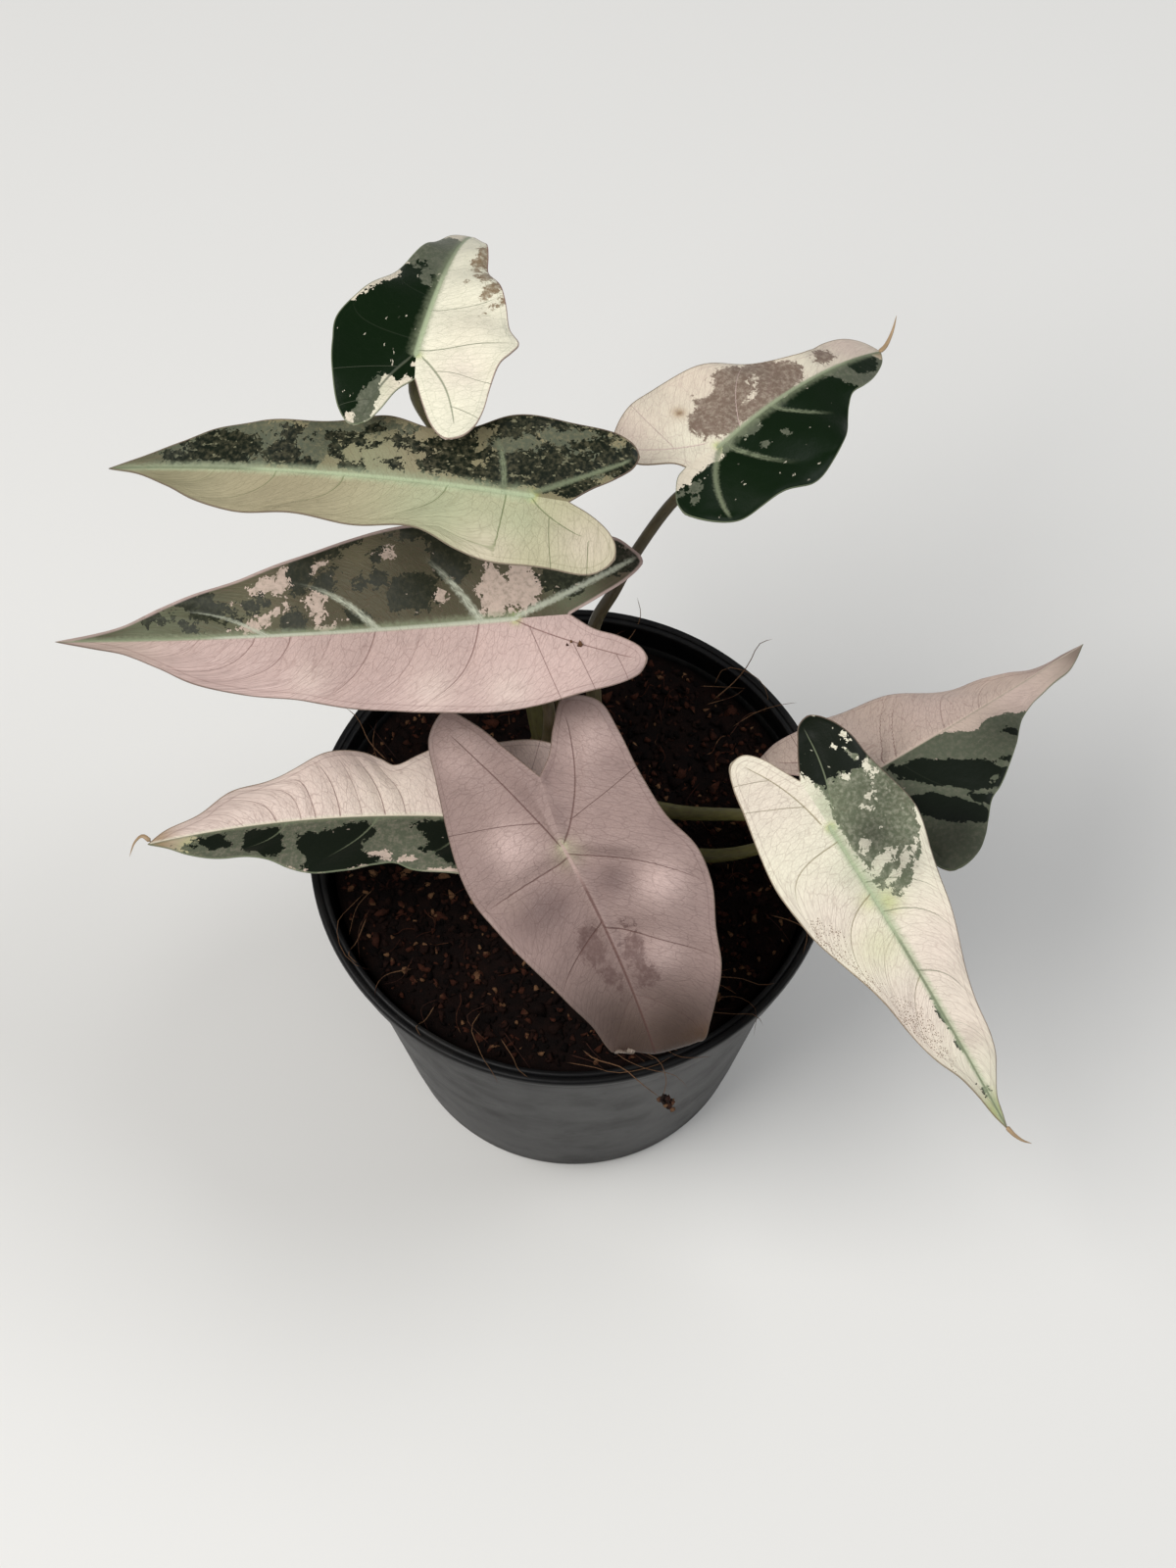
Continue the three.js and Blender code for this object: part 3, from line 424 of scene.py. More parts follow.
            inlet=[(-14.5, 1.5), (-18, -1), (-20.6, -4)], ground="cream",
            washes=[("pale_sage", 9, -1.5, 6, 0.8), ("tan", 66, 0, 4, 0.8)],
            dark_colour="forest", dark=[(16, -13.6, 30, 13.4), (35, -8, 11, 8), (-11, -12, 14, 10.5),
                (55.5, -2.6, 7, 3), (4, -6, 7, 4.4), (24, -4, 16, 4), (-18, -5, 5, 4)],
            lit=[(9, -1.6, 4.4, 2.2, -10), (47.5, -5, 3.2, 4.6), (56, -6.8, 4, 1.4), (16, -9, 0.9, 0.9),
                (9, -8, 1, 0.5), (-18, -3, 1.8, 1), (-14, -4, 2.4, 1.2), (-17, -6.4, 1, 0.6)],
            blotch=[(50, -4, 15, 7), (10, -1, 8, 2), (-12, -5, 5, 3.4), (10, -12, 10, 9), (-17, -6, 5, 5),
                (2, -2.8, 6, 2.4, 20), (-6, -5, 6, 3)],
            laterals=[(1, 9, 1), (19, 22, 1), (40, 20, 0.2)], bow=0.2, costa=(-0.5, -0.5, -13.5, -16, 2.4),
            first=60,
            finish=dict(lateral="sage", lateral_width=1.3, feather=1.3, reach=0.75, glow="sage",
                glow_width=3.4, rag=0.9, flecks=0.35, net="sage", net_strength=0.1, costa_width=1.3,
                edge="sage", edge_width=0.3),
        ),
    ),
    leaf_row(
        name="g", slot="leaf_green", seed=7, joint=(84, 1, 168), heading=33, pitch=-2, roll=-19, sweep=12,
        droop=26, lobe_droop=4,
        fold=-16, curl=0, wave=1.3, wave_length=30, quilt=0.7, tip=84, sinus=(-8, 1.5), base=320,
        route=[(36, -8, 131), (60, -11, 148)], stalk=("stalk_green", "stalk_olive"),
        rib=("rose_cream", "rose_cream", 0.6, 200),
        puckers=[(20, 14, 7, 0.5), (38, 9, 6, 0.4)],
        left=leaf_half(
            margin=[(75, 1), (67, 1.5), (60, 3.5), (54, 7.5), (49, 12), (43, 15.5), (34, 22), (23, 28),
                (8, 34), (-4, 33), (-14, 35), (-22, 31)],
            inlet=[(-12, 9), (-19, 21)], ground="rose_cream",
            washes=[("shell_pink", 30, 12, 14, 0.4), ("dusky_pink", 66, 1, 10, 0.4),
                ("shell_pink", 0, 24, 12, 0.3), ("mauve", 79, 1, 9, 0.7)],
            laterals=[(3, 12, 0.9), (6.5, 28, 1), (24, 24, 0.6), (37, 20, 0.5)], bow=0.3,
            costa=(-2, 3, -17, 27, -1), first=7,
            finish=dict(lateral="vein_red", lateral_width=0.36, glow_width=0, net="vein_red",
                net_strength=0.6, costa_width=0.4, edge="dusky_pink"),
        ),
        right=leaf_half(
            margin=[(76, -3), (69, -5), (58, -6), (52, -6.4), (46, -8.4), (42, -11), (37, -15), (29, -20),
                (25, -22), (21, -23.4), (16, -28), (12, -32), (7.6, -35.4), (3, -36.8), (-0.8, -36)],
            inlet=[(-8, -9), (-7, -21), (-4.6, -30), (-3.2, -33.4)], ground="rose_cream",
            washes=[("shell_pink", 50, -4, 9, 0.4), ("mauve", 79, -1, 9, 0.7)],
            dark=[(18, -13, 17.6, 4.7, -35), (9, -20.4, 11.6, 4, -42), (39, -11.4, 3.4, 1.4, -42),
                (32, -19, 5, 1.8, -36), (20, -23, 5, 1.6, -40)],
            lit=[(29, -17.4, 1.6, 0.7, -30), (25, -19.4, 1.2, 0.6)],
            blotch=[(20, -12, 29, 11, -31), (41, -9, 13, 3.8, -10), (6, -27, 16, 16), (2, -8, 9, 9)],
            bare=[(46, -3.6, 9, 1.9, -6)],
            shades=[(3, -33, 10, 0.55), (7, -27, 7, 0.5), (38, -10, 8, 0.35), (30, -10, 9, 0.1)],
            laterals=[(6, 18, 0.12), (24, 18, 0.12)], costa=(-2, -4, -1, -32, 0.8), first=40,
            finish=dict(lateral="silver", lateral_width=0.4, glow="sage", glow_width=1, rag=0.8,
                flecks=0.12, net="silver", net_strength=0.12, costa_width=0.4, edge="sage",
                edge_width=0.35),
        ),
    ),
    leaf_row(
        name="h", slot="leaf_cream", seed=8, joint=(70, -24, 182), heading=301, pitch=-8, roll=0, droop=14,
        lobe_droop=8,
        fold=5, curl=1, wave=1.3, wave_length=31, quilt=0.5, tip=93, sinus=(-16, 0), base=0,
        route=[(32, 2, 138), (51, -9, 159)], stalk=("stalk_green", "stalk_olive"),
        rib=("mint", "sage", 0.8, 34),
        curl_tip=[(92, 0, 0.1), (95, 0.8, 0.2), (97.5, 2.2, 0), (99.5, 4.2, -0.5)],
        puckers=[(12, -14, 7, 0.4), (30, 10, 6, 0.4), (56, 6, 5, -0.3)],
        left=leaf_half(
            margin=[(88, 1), (84, 1.8), (78, 5), (74, 7), (69, 8.2), (61, 9.4), (52, 11.6), (43, 14),
                (31, 17.5), (19, 20.5), (6, 23), (-7, 21.5), (-14, 20), (-20, 19), (-27, 16), (-31, 12.5)],
            inlet=[(-21, 2.5), (-26, 5.5), (-30, 8.4)], ground="ivory",
            washes=[("mint", 20, 2, 7, 0.6), ("lime", 25, 2.6, 3.6, 0.7), ("cream_pink", 42, 8, 16, 0.65),
                ("mauve", 67, 3.4, 3.4, 0.35), ("lime", 87, 0, 5, 0.7), ("mint", -6, 3, 6, 0.6),
                ("cream_pink", 62, 5, 12, 0.5)],
            dark=[(-24, 11, 11.5, 10.5), (-16, 14.5, 5, 5.6), (-15.6, 5, 4.2, 2.8, 10),
                (80.5, 0.4, 2.2, 0.7)],
            lit=[(-15, 16.8, 1.2, 0.6, 30), (-20, 13, 0.6, 0.4), (-19, 17.4, 1.6, 0.3, 20)],
            blotch_colour="sage_dark", blotch=[(0, 13, 18, 10.6, -4), (14, 10.4, 11, 7.4, -36),
                (-10, 9, 7, 6.4), (4, 6.4, 13, 4.6), (22, 6.4, 2.4, 2.4)],
            bare=[(-11.2, 11.4, 1.7, 1.1), (-10.5, 18, 3.2, 0.8, -6), (-5.2, 16.6, 3.4, 0.9, -36),
                (-2.6, 13, 1.7, 0.6, -70), (14.8, 6.8, 3.6, 1.2, -74), (19, 8.8, 2.2, 0.9, -60),
                (17.4, 12.4, 2.8, 0.8, -60), (15, 17.6, 2.6, 0.8, -50), (8, 6, 0.7, 0.7), (6, 12, 0.5, 0.4),
                (9.4, 4, 0.7, 0.5), (10, 22.4, 8, 0.7, -8)],
            shades=[(7, 9, 6.5, 0.55), (17, 13, 5, 0.35), (-4, 14, 7, 0.2), (0, 19, 5, 0.2)],
            laterals=[(1.2, 0, 0.25), (17.2, 15, 0.9), (26.2, 14, 0.9), (44.6, 16, 0.9), (60, 16, 0.4)],
            costa=(-2, 2, -28, 9, -1.4), first=30,
            finish=dict(lateral="sage", lateral_width=0.42, glow="mint", glow_width=3.4, rag=1.5,
                mottle=0.3, flecks=0.35, net="vein_red", net_strength=0.3, costa_width=0.6, edge="mauve"),
        ),
        right=leaf_half(
            margin=[(88, -1.6), (81, -3), (75, -4.8), (68, -8), (59, -10.5), (46, -13.5), (34, -17),
                (22, -21), (10, -22.5), (-2, -21), (-14, -19), (-23, -17), (-29, -14)],
            inlet=[(-21, -2.6), (-26.4, -5.4), (-30, -9.4)], ground="ivory",
            washes=[("lime", 34, -6, 7, 0.35), ("lime", 22, -2, 3, 0.5), ("mint", 14, -2, 6, 0.4),
                ("cream_pink", 54, -7, 16, 0.65), ("cream_pink", -16, -12, 14, 0.5),
                ("lime", 87, 0, 5, 0.7), ("cream_pink", 22, -13, 12, 0.5)],
            dark=[(80.5, -0.6, 2.2, 0.8), (60, -0.4, 7, 0.5)],
            blotch_colour="pale_sage",
            specks=[(27, -16, 8, 3.4, 14), (40, -13.6, 6, 1.8, 14), (56, -7.4, 10, 3.6, 14),
                (69, -5, 5, 2, 16)],
            laterals=[(3.8, 5, 0.9), (20.5, 19, 1), (33, 22, 0.4), (46, 26, 0.8), (60, 26, 0.3)],
            costa=(-2, -1.6, -27, -11, 1.6), first=7,
            finish=dict(lateral="vein_brown", lateral_width=0.4, glow="mint", glow_width=2.4,
                net="vein_red", net_strength=0.36, costa_width=0.45, edge="brown"),
        ),
    ),
]


def smooth(value):
    """An even rise from 0 to 1."""
    share = np.clip(value, 0.0, 1.0)
    return share * share * (3.0 - 2.0 * share)


def bell(distance, width):
    """1 where the distance is nothing, and falling away over the width."""
    return np.exp(-((distance / width) ** 2))


def around(angle, radius=1.0):
    """A place on a circle round the origin, at an angle in radians."""
    return radius * np.array([math.cos(angle), math.sin(angle)])


# Properties


def tone(label, note, *levels):
    """A colour that a user can change, in display values from 0 to 255."""
    return bpy.props.FloatVectorProperty(
        name=label, description=note, subtype="COLOR_GAMMA", size=3, min=0.0, max=1.0,
        default=tuple(level / 255.0 for level in levels),
    )


def amount(label, note, value, **more):
    """A number that a user can change."""
    return bpy.props.FloatProperty(name=label, description=note, default=value, **{"min": 0.0, **more})


def length(label, note, value):
    """A size in metres that a user can change."""
    return amount(label, note, value, unit="LENGTH", precision=4)


def count(label, note, value, most):
    """A whole number that a user can change."""
    return bpy.props.IntProperty(name=label, description=note, default=value, min=0, max=most)


class PlantColours(bpy.types.PropertyGroup):
    ivory: tone("Ivory", "Palest leaf, almost without green", 232, 227, 205)
    cream: tone("Cream", "Pale cream leaf", 222, 211, 191)
    cream_pink: tone("Cream pink", "Pale leaf with a pink cast", 229, 210, 199)
    rose_cream: tone("Rose cream", "Cream between pink and beige", 200, 180, 166)
    shell_pink: tone("Shell pink", "Clear pale pink leaf", 206, 181, 174)
    dusky_pink: tone("Dusky pink", "Greyer pink, towards the margins", 178, 152, 145)
    smoke: tone("Smoke", "Greyish mauve-pink leaf", 158, 136, 130)
    plum: tone("Plum", "Softly darker patches in the greyish leaf", 108, 87, 83)
    taupe: tone("Taupe", "Greyish leaf towards its end", 86, 69, 58)
    # Violet grey is the greyish leaf's violet tint, and where it is washed into the hollows it is also
    # painted shade.
    violet_and_hollow_shade: tone("Violet grey", "Darker hollows of the greyish leaf", 100, 80, 78)
    beige: tone("Beige green", "Leaf half between beige and green", 184, 179, 147)
    beige_pink: tone("Beige pink", "Warm beige leaf", 160, 150, 122)
    moss: tone("Moss", "Beige-olive leaf half", 128, 122, 94)
    olive: tone("Olive", "Olive-brown leaf half", 86, 82, 63)
    forest: tone("Forest green", "Deepest green", 6, 24, 3)
    bottle: tone("Bottle green", "Dark greyish green", 15, 22, 12)
    dark_olive: tone("Dark olive", "Soft dark patches in the olive leaf half", 40, 43, 31)
    silver: tone("Silver green", "Grey-green patches in the dark halves", 82, 87, 71)
    sage_dark: tone("Dark sage", "Grey-green patches in the pale leaf", 100, 107, 85)
    sage: tone("Sage", "Mid grey-green", 118, 126, 100)
    pale_sage: tone("Pale sage", "Light grey-green", 148, 157, 128)
    mint: tone("Mint", "Pale green along the midribs", 170, 182, 148)
    vein_white: tone("Pale veins", "Whitish feathered side veins", 196, 200, 180)
    vein_red: tone("Red veins", "Fine dark red veins", 130, 98, 92)
    vein_dark: tone("Dark veins", "Thin dark red veins of the greyish leaf", 96, 68, 63)
    vein_green: tone("Green veins", "Fine dark green veins", 106, 118, 78)
    vein_brown: tone("Brown veins", "Fine olive-brown veins", 142, 130, 98)
    lime: tone("Lime", "Yellow-green at the leaf joints", 178, 192, 108)
    brown: tone("Brown", "Brown blotches and specks", 130, 110, 86)
    mauve: tone("Mauve", "Mauve-brown blotches", 118, 101, 88)
    tan: tone("Tan", "Dried tips", 178, 150, 114)
    dry: tone("Dry brown", "Withered ends", 104, 76, 48)
    stalk_green: tone("Green stalk", "Stalks of the fresher leaves", 92, 88, 46)
    stalk_olive: tone("Olive stalk", "Stalks of the older leaves", 92, 82, 54)
    stalk_brown: tone("Brown stalk foot", "Foot of the stalks", 72, 54, 38)
    underside: tone("Underside", "Back of the leaves", 128, 118, 104)


class PlantSizes(bpy.types.PropertyGroup):
    quilting: amount("Quilting", "How strongly the leaf sinks along its side veins", 1.0, max=2.0,
                     subtype="FACTOR")
    fibre_radius: length("Fibre radius", "Radius of the thickest coir fibres", 0.00024)
    chips: count("Chips", "Coir chips on top of the mix", 4200, 6000)
    fibres: count("Fibres", "Fibres in the mix", 150, 600)


class PotProperties(bpy.types.PropertyGroup):
    height: length("Height", "Height of the pot", 0.125)
    rim_radius: length("Rim radius", "Outside radius of the rolled lip", 0.075)
    collar_radius: length("Collar radius", "Outside radius of the collar under the lip", 0.073)
    shoulder_radius: length("Shoulder radius", "Radius where the tapered wall meets the collar", 0.070)
    base_radius: length("Base radius", "Radius at the foot", 0.053)
    collar_depth: length("Collar depth", "Height of the collar with its lip", 0.012)
    lip_width: length("Lip width", "Width of the flat lip, seen from above", 0.004)
    lip_depth: length("Lip depth", "Height of the lip's edge", 0.003)
    wall: length("Wall", "Thickness of the wall", 0.0014)
    floor: length("Floor", "Thickness of the floor", 0.0022)
    drain_radius: length("Drain radius", "Radius of each drain hole", 0.0045)
    drain_circle: length("Drain circle", "Radius of the circle that the drain holes lie on", 0.040)
    drains: count("Drains", "Number of drain holes", 8, 16)
    plastic: tone("Plastic", "Black nursery plastic", 10, 10, 11)
    dust: tone("Dust", "Dust and lime on the plastic", 58, 55, 50)


class MixProperties(bpy.types.PropertyGroup):
    level: length("Level", "Height of the mix's surface at the wall", 0.117)
    mound: length("Mound", "How much higher the mix stands at the middle", 0.002)
    deep: tone("Deep", "Darkest chips", 8, 3, 2)
    brown: tone("Brown", "Common chips", 33, 17, 12)
    rust: tone("Rust", "Reddish chips", 64, 34, 23)
    straw: tone("Straw", "Pale fibres and chips", 120, 88, 62)


class StageProperties(bpy.types.PropertyGroup):
    floor_colour: tone("Floor", "Plain pale floor", 226, 225, 222)
    key_power: amount("Key light", "Power of the main soft light", 23.0, unit="POWER")
    fill_power: amount("Fill light", "Power of the softer side light", 13.0, unit="POWER")
    world_strength: amount("Surroundings", "Light from all round", 0.26, max=4.0)
    focal_length: amount("Focal length", "Lens, in millimetres", 85.0, min=1.0, unit="CAMERA")


def tone_of(group, name):
    """A colour of a property group, as the light that it stands for, with a full alpha."""
    shown = getattr(group, name)
    light = [part / 12.92 if part <= 0.04045 else ((part + 0.055) / 1.055) ** 2.4 for part in shown]
    return (*light, 1.0)


def colour_of(name):
    return tone_of(bpy.context.scene.plant_colours, name)


# Node trees


class Value:
    """A value in a node tree. Sums and products of values add the nodes that work them out."""

    def __init__(self, wires, socket):
        self.wires = wires
        self.socket = socket

    def __add__(self, other):
        return self.wires.math("ADD", self, other)

    def __sub__(self, other):
        return self.wires.math("SUBTRACT", self, other)

    def __rsub__(self, other):
        return self.wires.math("SUBTRACT", other, self)

    def __mul__(self, other):
        return self.wires.math("MULTIPLY", self, other)

    __radd__ = __add__


class Values:
    """The values that a node puts out, by name or by number."""

    def __init__(self, wires, node):
        self.wires = wires
        self.node = node

    def __getitem__(self, key):
        return Value(self.wires, self.node.outputs[key])


class Wires:
    """Adds nodes to one tree and joins them."""

    def __init__(self, tree):
        self.tree = tree

    def feed(self, sockets, given):
        """Joins each value to its socket, or sets it there when it is a plain number or colour."""
        for key, value in given.items():
            if isinstance(value, Value):
                self.tree.links.new(value.socket, sockets[key])
            else:
                sockets[key].default_value = value

    def add(self, kind, given=None, **settings):
        node = self.tree.nodes.new(kind)
        for name, value in settings.items():
            setattr(node, name, value)
        self.feed(node.inputs, given or {})
        return Values(self, node)

    def attribute(self, name, part="Vector"):
        return self.add("ShaderNodeAttribute", attribute_name=name)[part]

    def split(self, name):
        return self.add("ShaderNodeSeparateXYZ", {0: self.attribute(name)})

    def join(self, *parts):
        return self.add("ShaderNodeCombineXYZ", dict(enumerate(parts)))[0]

    def channels(self, colour):
        return self.add("ShaderNodeSeparateColor", {0: colour})

    def math(self, operation, *values):
        return self.add("ShaderNodeMath", dict(enumerate(values)), operation=operation)[0]

    def vector(self, operation, place, other):
        return self.add("ShaderNodeVectorMath", {0: place, 1: other}, operation=operation)[0]

    def between(self, value, low, high):
        """0 at low and 1 at high, with an even rise; low may be the greater."""
        return self.add("ShaderNodeMapRange", {0: value, 1: low, 2: high}, interpolation_type="SMOOTHSTEP")[0]

    def mix(self, share, first, second, way="MIX"):
        return self.add("ShaderNodeMix", {0: share, 6: first, 7: second}, data_type="RGBA", blend_type=way)[2]

    def noise(self, place, scale, detail=2.0, roughness=0.5):
        """A soft noise: its value is the first output, and its colour the second."""
        given = {"Vector": place, "Scale": scale, "Detail": detail, "Roughness": roughness}
        return self.add("ShaderNodeTexNoise", given)

    def cells(self, place, scale, feature="F1"):
        """A cell pattern: distance, colour and place."""
        return self.add("ShaderNodeTexVoronoi", {"Vector": place, "Scale": scale}, feature=feature)

    def warped(self, place, scale, size):
        """A place moved about by a soft noise."""
        push = self.vector("ADD", self.noise(place, scale)[1], (-0.5,) * 3)
        return self.vector("ADD", place, self.vector("MULTIPLY", push, (size,) * 3))

    def finished(self, colour, roughness, height, distance, strength):
        """Ends a group with its colour, its roughness and the relief of a height."""
        given = {"Height": height, "Distance": distance, "Strength": strength}
        normal = self.add("ShaderNodeBump", given)[0]
        self.add("NodeGroupOutput", {"Color": colour, "Roughness": roughness, "Normal": normal})
        return self.tree


def new_group(name, numbers, colours):
    """An empty node group with these inputs, and Color, Roughness and Normal as its outputs."""
    tree = bpy.data.node_groups.new(name, "ShaderNodeTree")
    for label, value in numbers.items():
        made = tree.interface.new_socket(name=label, in_out="INPUT", socket_type="NodeSocketFloat")
        made.default_value = value
    for label in colours:
        tree.interface.new_socket(name=label, in_out="INPUT", socket_type="NodeSocketColor")
    for label, kind in (("Color", "Color"), ("Roughness", "Float"), ("Normal", "Vector")):
        tree.interface.new_socket(name=label, in_out="OUTPUT", socket_type="NodeSocket" + kind)
    wires = Wires(tree)
    return wires, wires.add("NodeGroupInput")


FACE_NUMBERS = {
    "Seed": 0.0, "Rag": 1.4, "Blotch Softness": 0.07, "Rib Width": 1.0, "Glow Width": 2.0,
    "Lateral Width": 0.35, "Feather": 0.0, "Reach": 1.05, "Costa Width": 0.5, "Net Strength": 0.3,
    "Flecks": 0.0, "Edge Width": 0.4, "Rib Change": 200.0, "Mottle": 0.1, "Dark Mottle": 0.0,
}
FACE_COLOURS = ("Dark", "Blotch", "Rib", "Rib Far", "Glow", "Lateral", "Net", "Edge", "Speck")
SEED_SHIFT = 17.0


def vein_masks(wires, given):
    """Masks of the midrib, the lobe's rib, the side veins and their net, from the blade's own fields."""
    plan_x, plan_y, edge = wires.split("plan")
    flow_u, flow_v, across = wires.split("flow")
    phase, spacing, strength = wires.split("laterals")
    lobe_phase, lobe_strength, _ = wires.split("lobe_veins")
    costa_distance, costa_strength, rib_taper = wires.split("ribs")
    place = wires.join(plan_x, plan_y, given["Seed"] * SEED_SHIFT)
    feather = (wires.noise(place, 1.5, 3.0)[0] - 0.5) * given["Feather"]
    softness = given["Feather"] * 0.5 + 0.14

    def line(distance, width, strength_here):
        return wires.between(distance + feather, width * 0.5 + softness, width * 0.1) * strength_here

    def net(across_flow, along_flow, high):
        spot = wires.join(flow_u * across_flow, flow_v * along_flow, given["Seed"])
        spread = wires.cells(wires.warped(spot, 0.7, 0.35), 1.0, "DISTANCE_TO_EDGE")
        return wires.between(spread[0], high, 0.0)

    streaks = wires.noise(wires.join(flow_u * 2.2, flow_v * 0.5, 3.0), 1.0, 3.0)[0]
    strength = strength * ((streaks - 0.5) * 2.4 * given["Feather"] + 1.0)
    strength = strength * wires.between(across, given["Reach"], given["Reach"] - 0.4)
    inward = 1.0 - across
    width = given["Lateral Width"] * (inward * inward * 0.72 + 0.28)
    lateral = line(wires.math("PINGPONG", phase, 0.5) * spacing, width, strength)
    lobe_vein = line(wires.math("PINGPONG", lobe_phase, 0.5) * LOBE_VEIN_SPACING, width * 0.7, lobe_strength)
    costa = line(wires.math("ABSOLUTE", costa_distance), given["Costa Width"] * costa_strength,
                 wires.between(costa_strength, 0.02, 0.2))
    off_rib = wires.math("ABSOLUTE", plan_y)
    rib_half = given["Rib Width"] * rib_taper * 0.5
    rib = wires.between(off_rib, rib_half * 1.3 + 0.25, rib_half * 0.5) * wires.between(rib_taper, 0.02, 0.12)
    glow_edge = given["Glow Width"] * (rib_taper * 0.75 + 0.25)
    ragged = off_rib + (wires.noise(place, 0.9, 3.0)[0] - 0.5) * 0.7 * glow_edge
    return {
        "place": place, "x": plan_x, "edge": edge, "lateral": wires.math("MAXIMUM", lateral, lobe_vein),
        "costa": costa, "rib": rib, "coarse": net(0.5, 0.2, 0.05), "fine": net(1.4, 0.7, 0.12),
        "glow": wires.between(ragged, glow_edge, 0.0) * wires.between(rib_taper, 0.0, 0.3),
        "marginal": wires.between(wires.math("ABSOLUTE", edge - 1.7), 0.22, 0.04),
    }


def blade_face_group():
    """The upper face of half a blade: its ground, dark and grey-green patches, flecks and veins."""
    wires, given = new_group("Blade Face", FACE_NUMBERS, FACE_COLOURS)
    dark, blotch, speck = wires.split("marks")
    veins = vein_masks(wires, given)
    place = veins["place"]
    ground = wires.attribute("tint", "Color")
    torn = wires.warped(place, 0.5, 1.6)
    big = wires.channels(wires.cells(torn, 0.62)[1])
    small = wires.channels(wires.cells(torn, 1.7)[1])
    cloud = wires.channels(wires.noise(place, 0.17, 4.0)[1])

    def ragged(field, part):
        push = (cloud[part] - 0.5) * 3.4 + (big[part] - 0.5) * 0.8 + (small[part] - 0.5) * 0.55
        return field + push * given["Rag"]

    softness = given["Blotch Softness"]
    blotch_mask = wires.between(ragged(blotch, 1), softness * -1.0, softness)
    dark_mask = wires.between(ragged(dark, 0), -0.05, 0.09)
    mottle = wires.noise(place, 0.4, 3.0)[0]
    grain = wires.noise(place, 2.6, 2.0)[0]
    colour = wires.mix(1.0, ground, wires.between(mottle, -2.2, 0.8), "MULTIPLY")
    dapple = wires.between(wires.noise(place, 0.8, 5.0, 0.65)[0], 0.4, 0.75)
    for mask, name, share in ((blotch_mask, "Blotch", "Mottle"), (dark_mask, "Dark", "Dark Mottle")):
        colour = wires.mix(mask, colour, wires.mix(dapple * given[share], given[name], ground))

    # Flecks in the dark patches and specks in the pale ones.
    limit = 0.81 - given["Flecks"] * 0.17
    chips = wires.cells(wires.vector("MULTIPLY", torn, (0.7, 1.4, 1.0)), 2.3)
    chance = wires.noise(chips[2], 0.5, 2.5)[0] + (wires.channels(chips[1])[1] - 0.5) * 0.2
    fleck = wires.between(chance, limit, limit + 0.02) * wires.math("MAXIMUM", dark_mask, blotch_mask * 0.6)
    fleck = fleck * wires.between(given["Flecks"], 0.0, 0.1)
    colour = wires.mix(fleck, colour, wires.mix(0.55, given["Blotch"], ground))
    dots = wires.cells(place, 2.4)
    dot = wires.between(dots[0], 0.42, 0.3) * wires.between(wires.channels(dots[1])[0], 0.32, 0.38)
    dot = dot * wires.between(speck + (mottle - 0.5) * 6.0, 0.0, 0.6)
    colour = wires.mix(dot * 0.85, colour, given["Speck"])

    pale = (1.0 - dark_mask * 0.97) * (1.0 - blotch_mask * 0.6)
    web = given["Net Strength"] * pale
    beyond = wires.between(veins["x"] - given["Rib Change"], -5.0, 5.0)
    rib_colour = wires.mix(beyond, given["Rib"], given["Rib Far"])
    rim = wires.between(veins["edge"], given["Edge Width"], given["Edge Width"] * 0.4)
    for mask, over in (
        (veins["glow"] * 0.8, given["Glow"]), (veins["fine"] * web * 0.4, given["Net"]),
        (veins["coarse"] * web * 0.5, given["Net"]), (veins["marginal"] * web * 0.7, given["Net"]),
        (veins["lateral"] * 0.8, given["Lateral"]), (veins["costa"] * 0.8, given["Lateral"]),
        (veins["rib"] * 0.8, rib_colour), (rim * 0.75, given["Edge"]),
    ):
        colour = wires.mix(mask, colour, over)
    # The tint's alpha darkens the colour: the leaf's own darker tone, and on leaf e painted shade.
    colour = wires.mix(1.0, colour, wires.attribute("tint", "Alpha"), "MULTIPLY")
    height = (veins["rib"] * -0.4 + veins["costa"] * -0.5 + veins["lateral"] * -0.6
              + veins["coarse"] * pale * -0.25 + veins["fine"] * pale * -0.16 + grain * 0.15 + mottle * 0.5)
    return wires.finished(colour, mottle * 0.1 + grain * 0.06 + 0.36, height, 0.00035, 0.7)


def blade_back_group():
    """The lower face of a blade: duller and greyer, with veins that stand out."""
    wires, given = new_group("Blade Back", FACE_NUMBERS, ("Under", "Vein"))
    veins = vein_masks(wires, given)
    mottle = wires.noise(veins["place"], 0.3, 3.0)[0]
    shade = wires.between(wires.split("marks")[0] + (mottle - 0.5) * 4.0, -1.5, 2.0)
    colour = wires.mix(0.45, given["Under"], wires.attribute("tint", "Color"))
    colour = wires.mix(shade * 0.6, colour, wires.mix(0.5, given["Under"], given["Vein"], "MULTIPLY"))
    strengths = {"fine": 0.12, "coarse": 0.3, "marginal": 0.25, "lateral": 0.7, "costa": 0.8, "rib": 0.8}
    for name, share in strengths.items():
        colour = wires.mix(veins[name] * share, colour, given["Vein"])
    height = veins["coarse"] * 0.5 + veins["fine"] * 0.2 + veins["lateral"] * 0.6 + mottle * 0.4
    return wires.finished(colour, mottle * 0.15 + 0.5, height, 0.0004, 0.7)


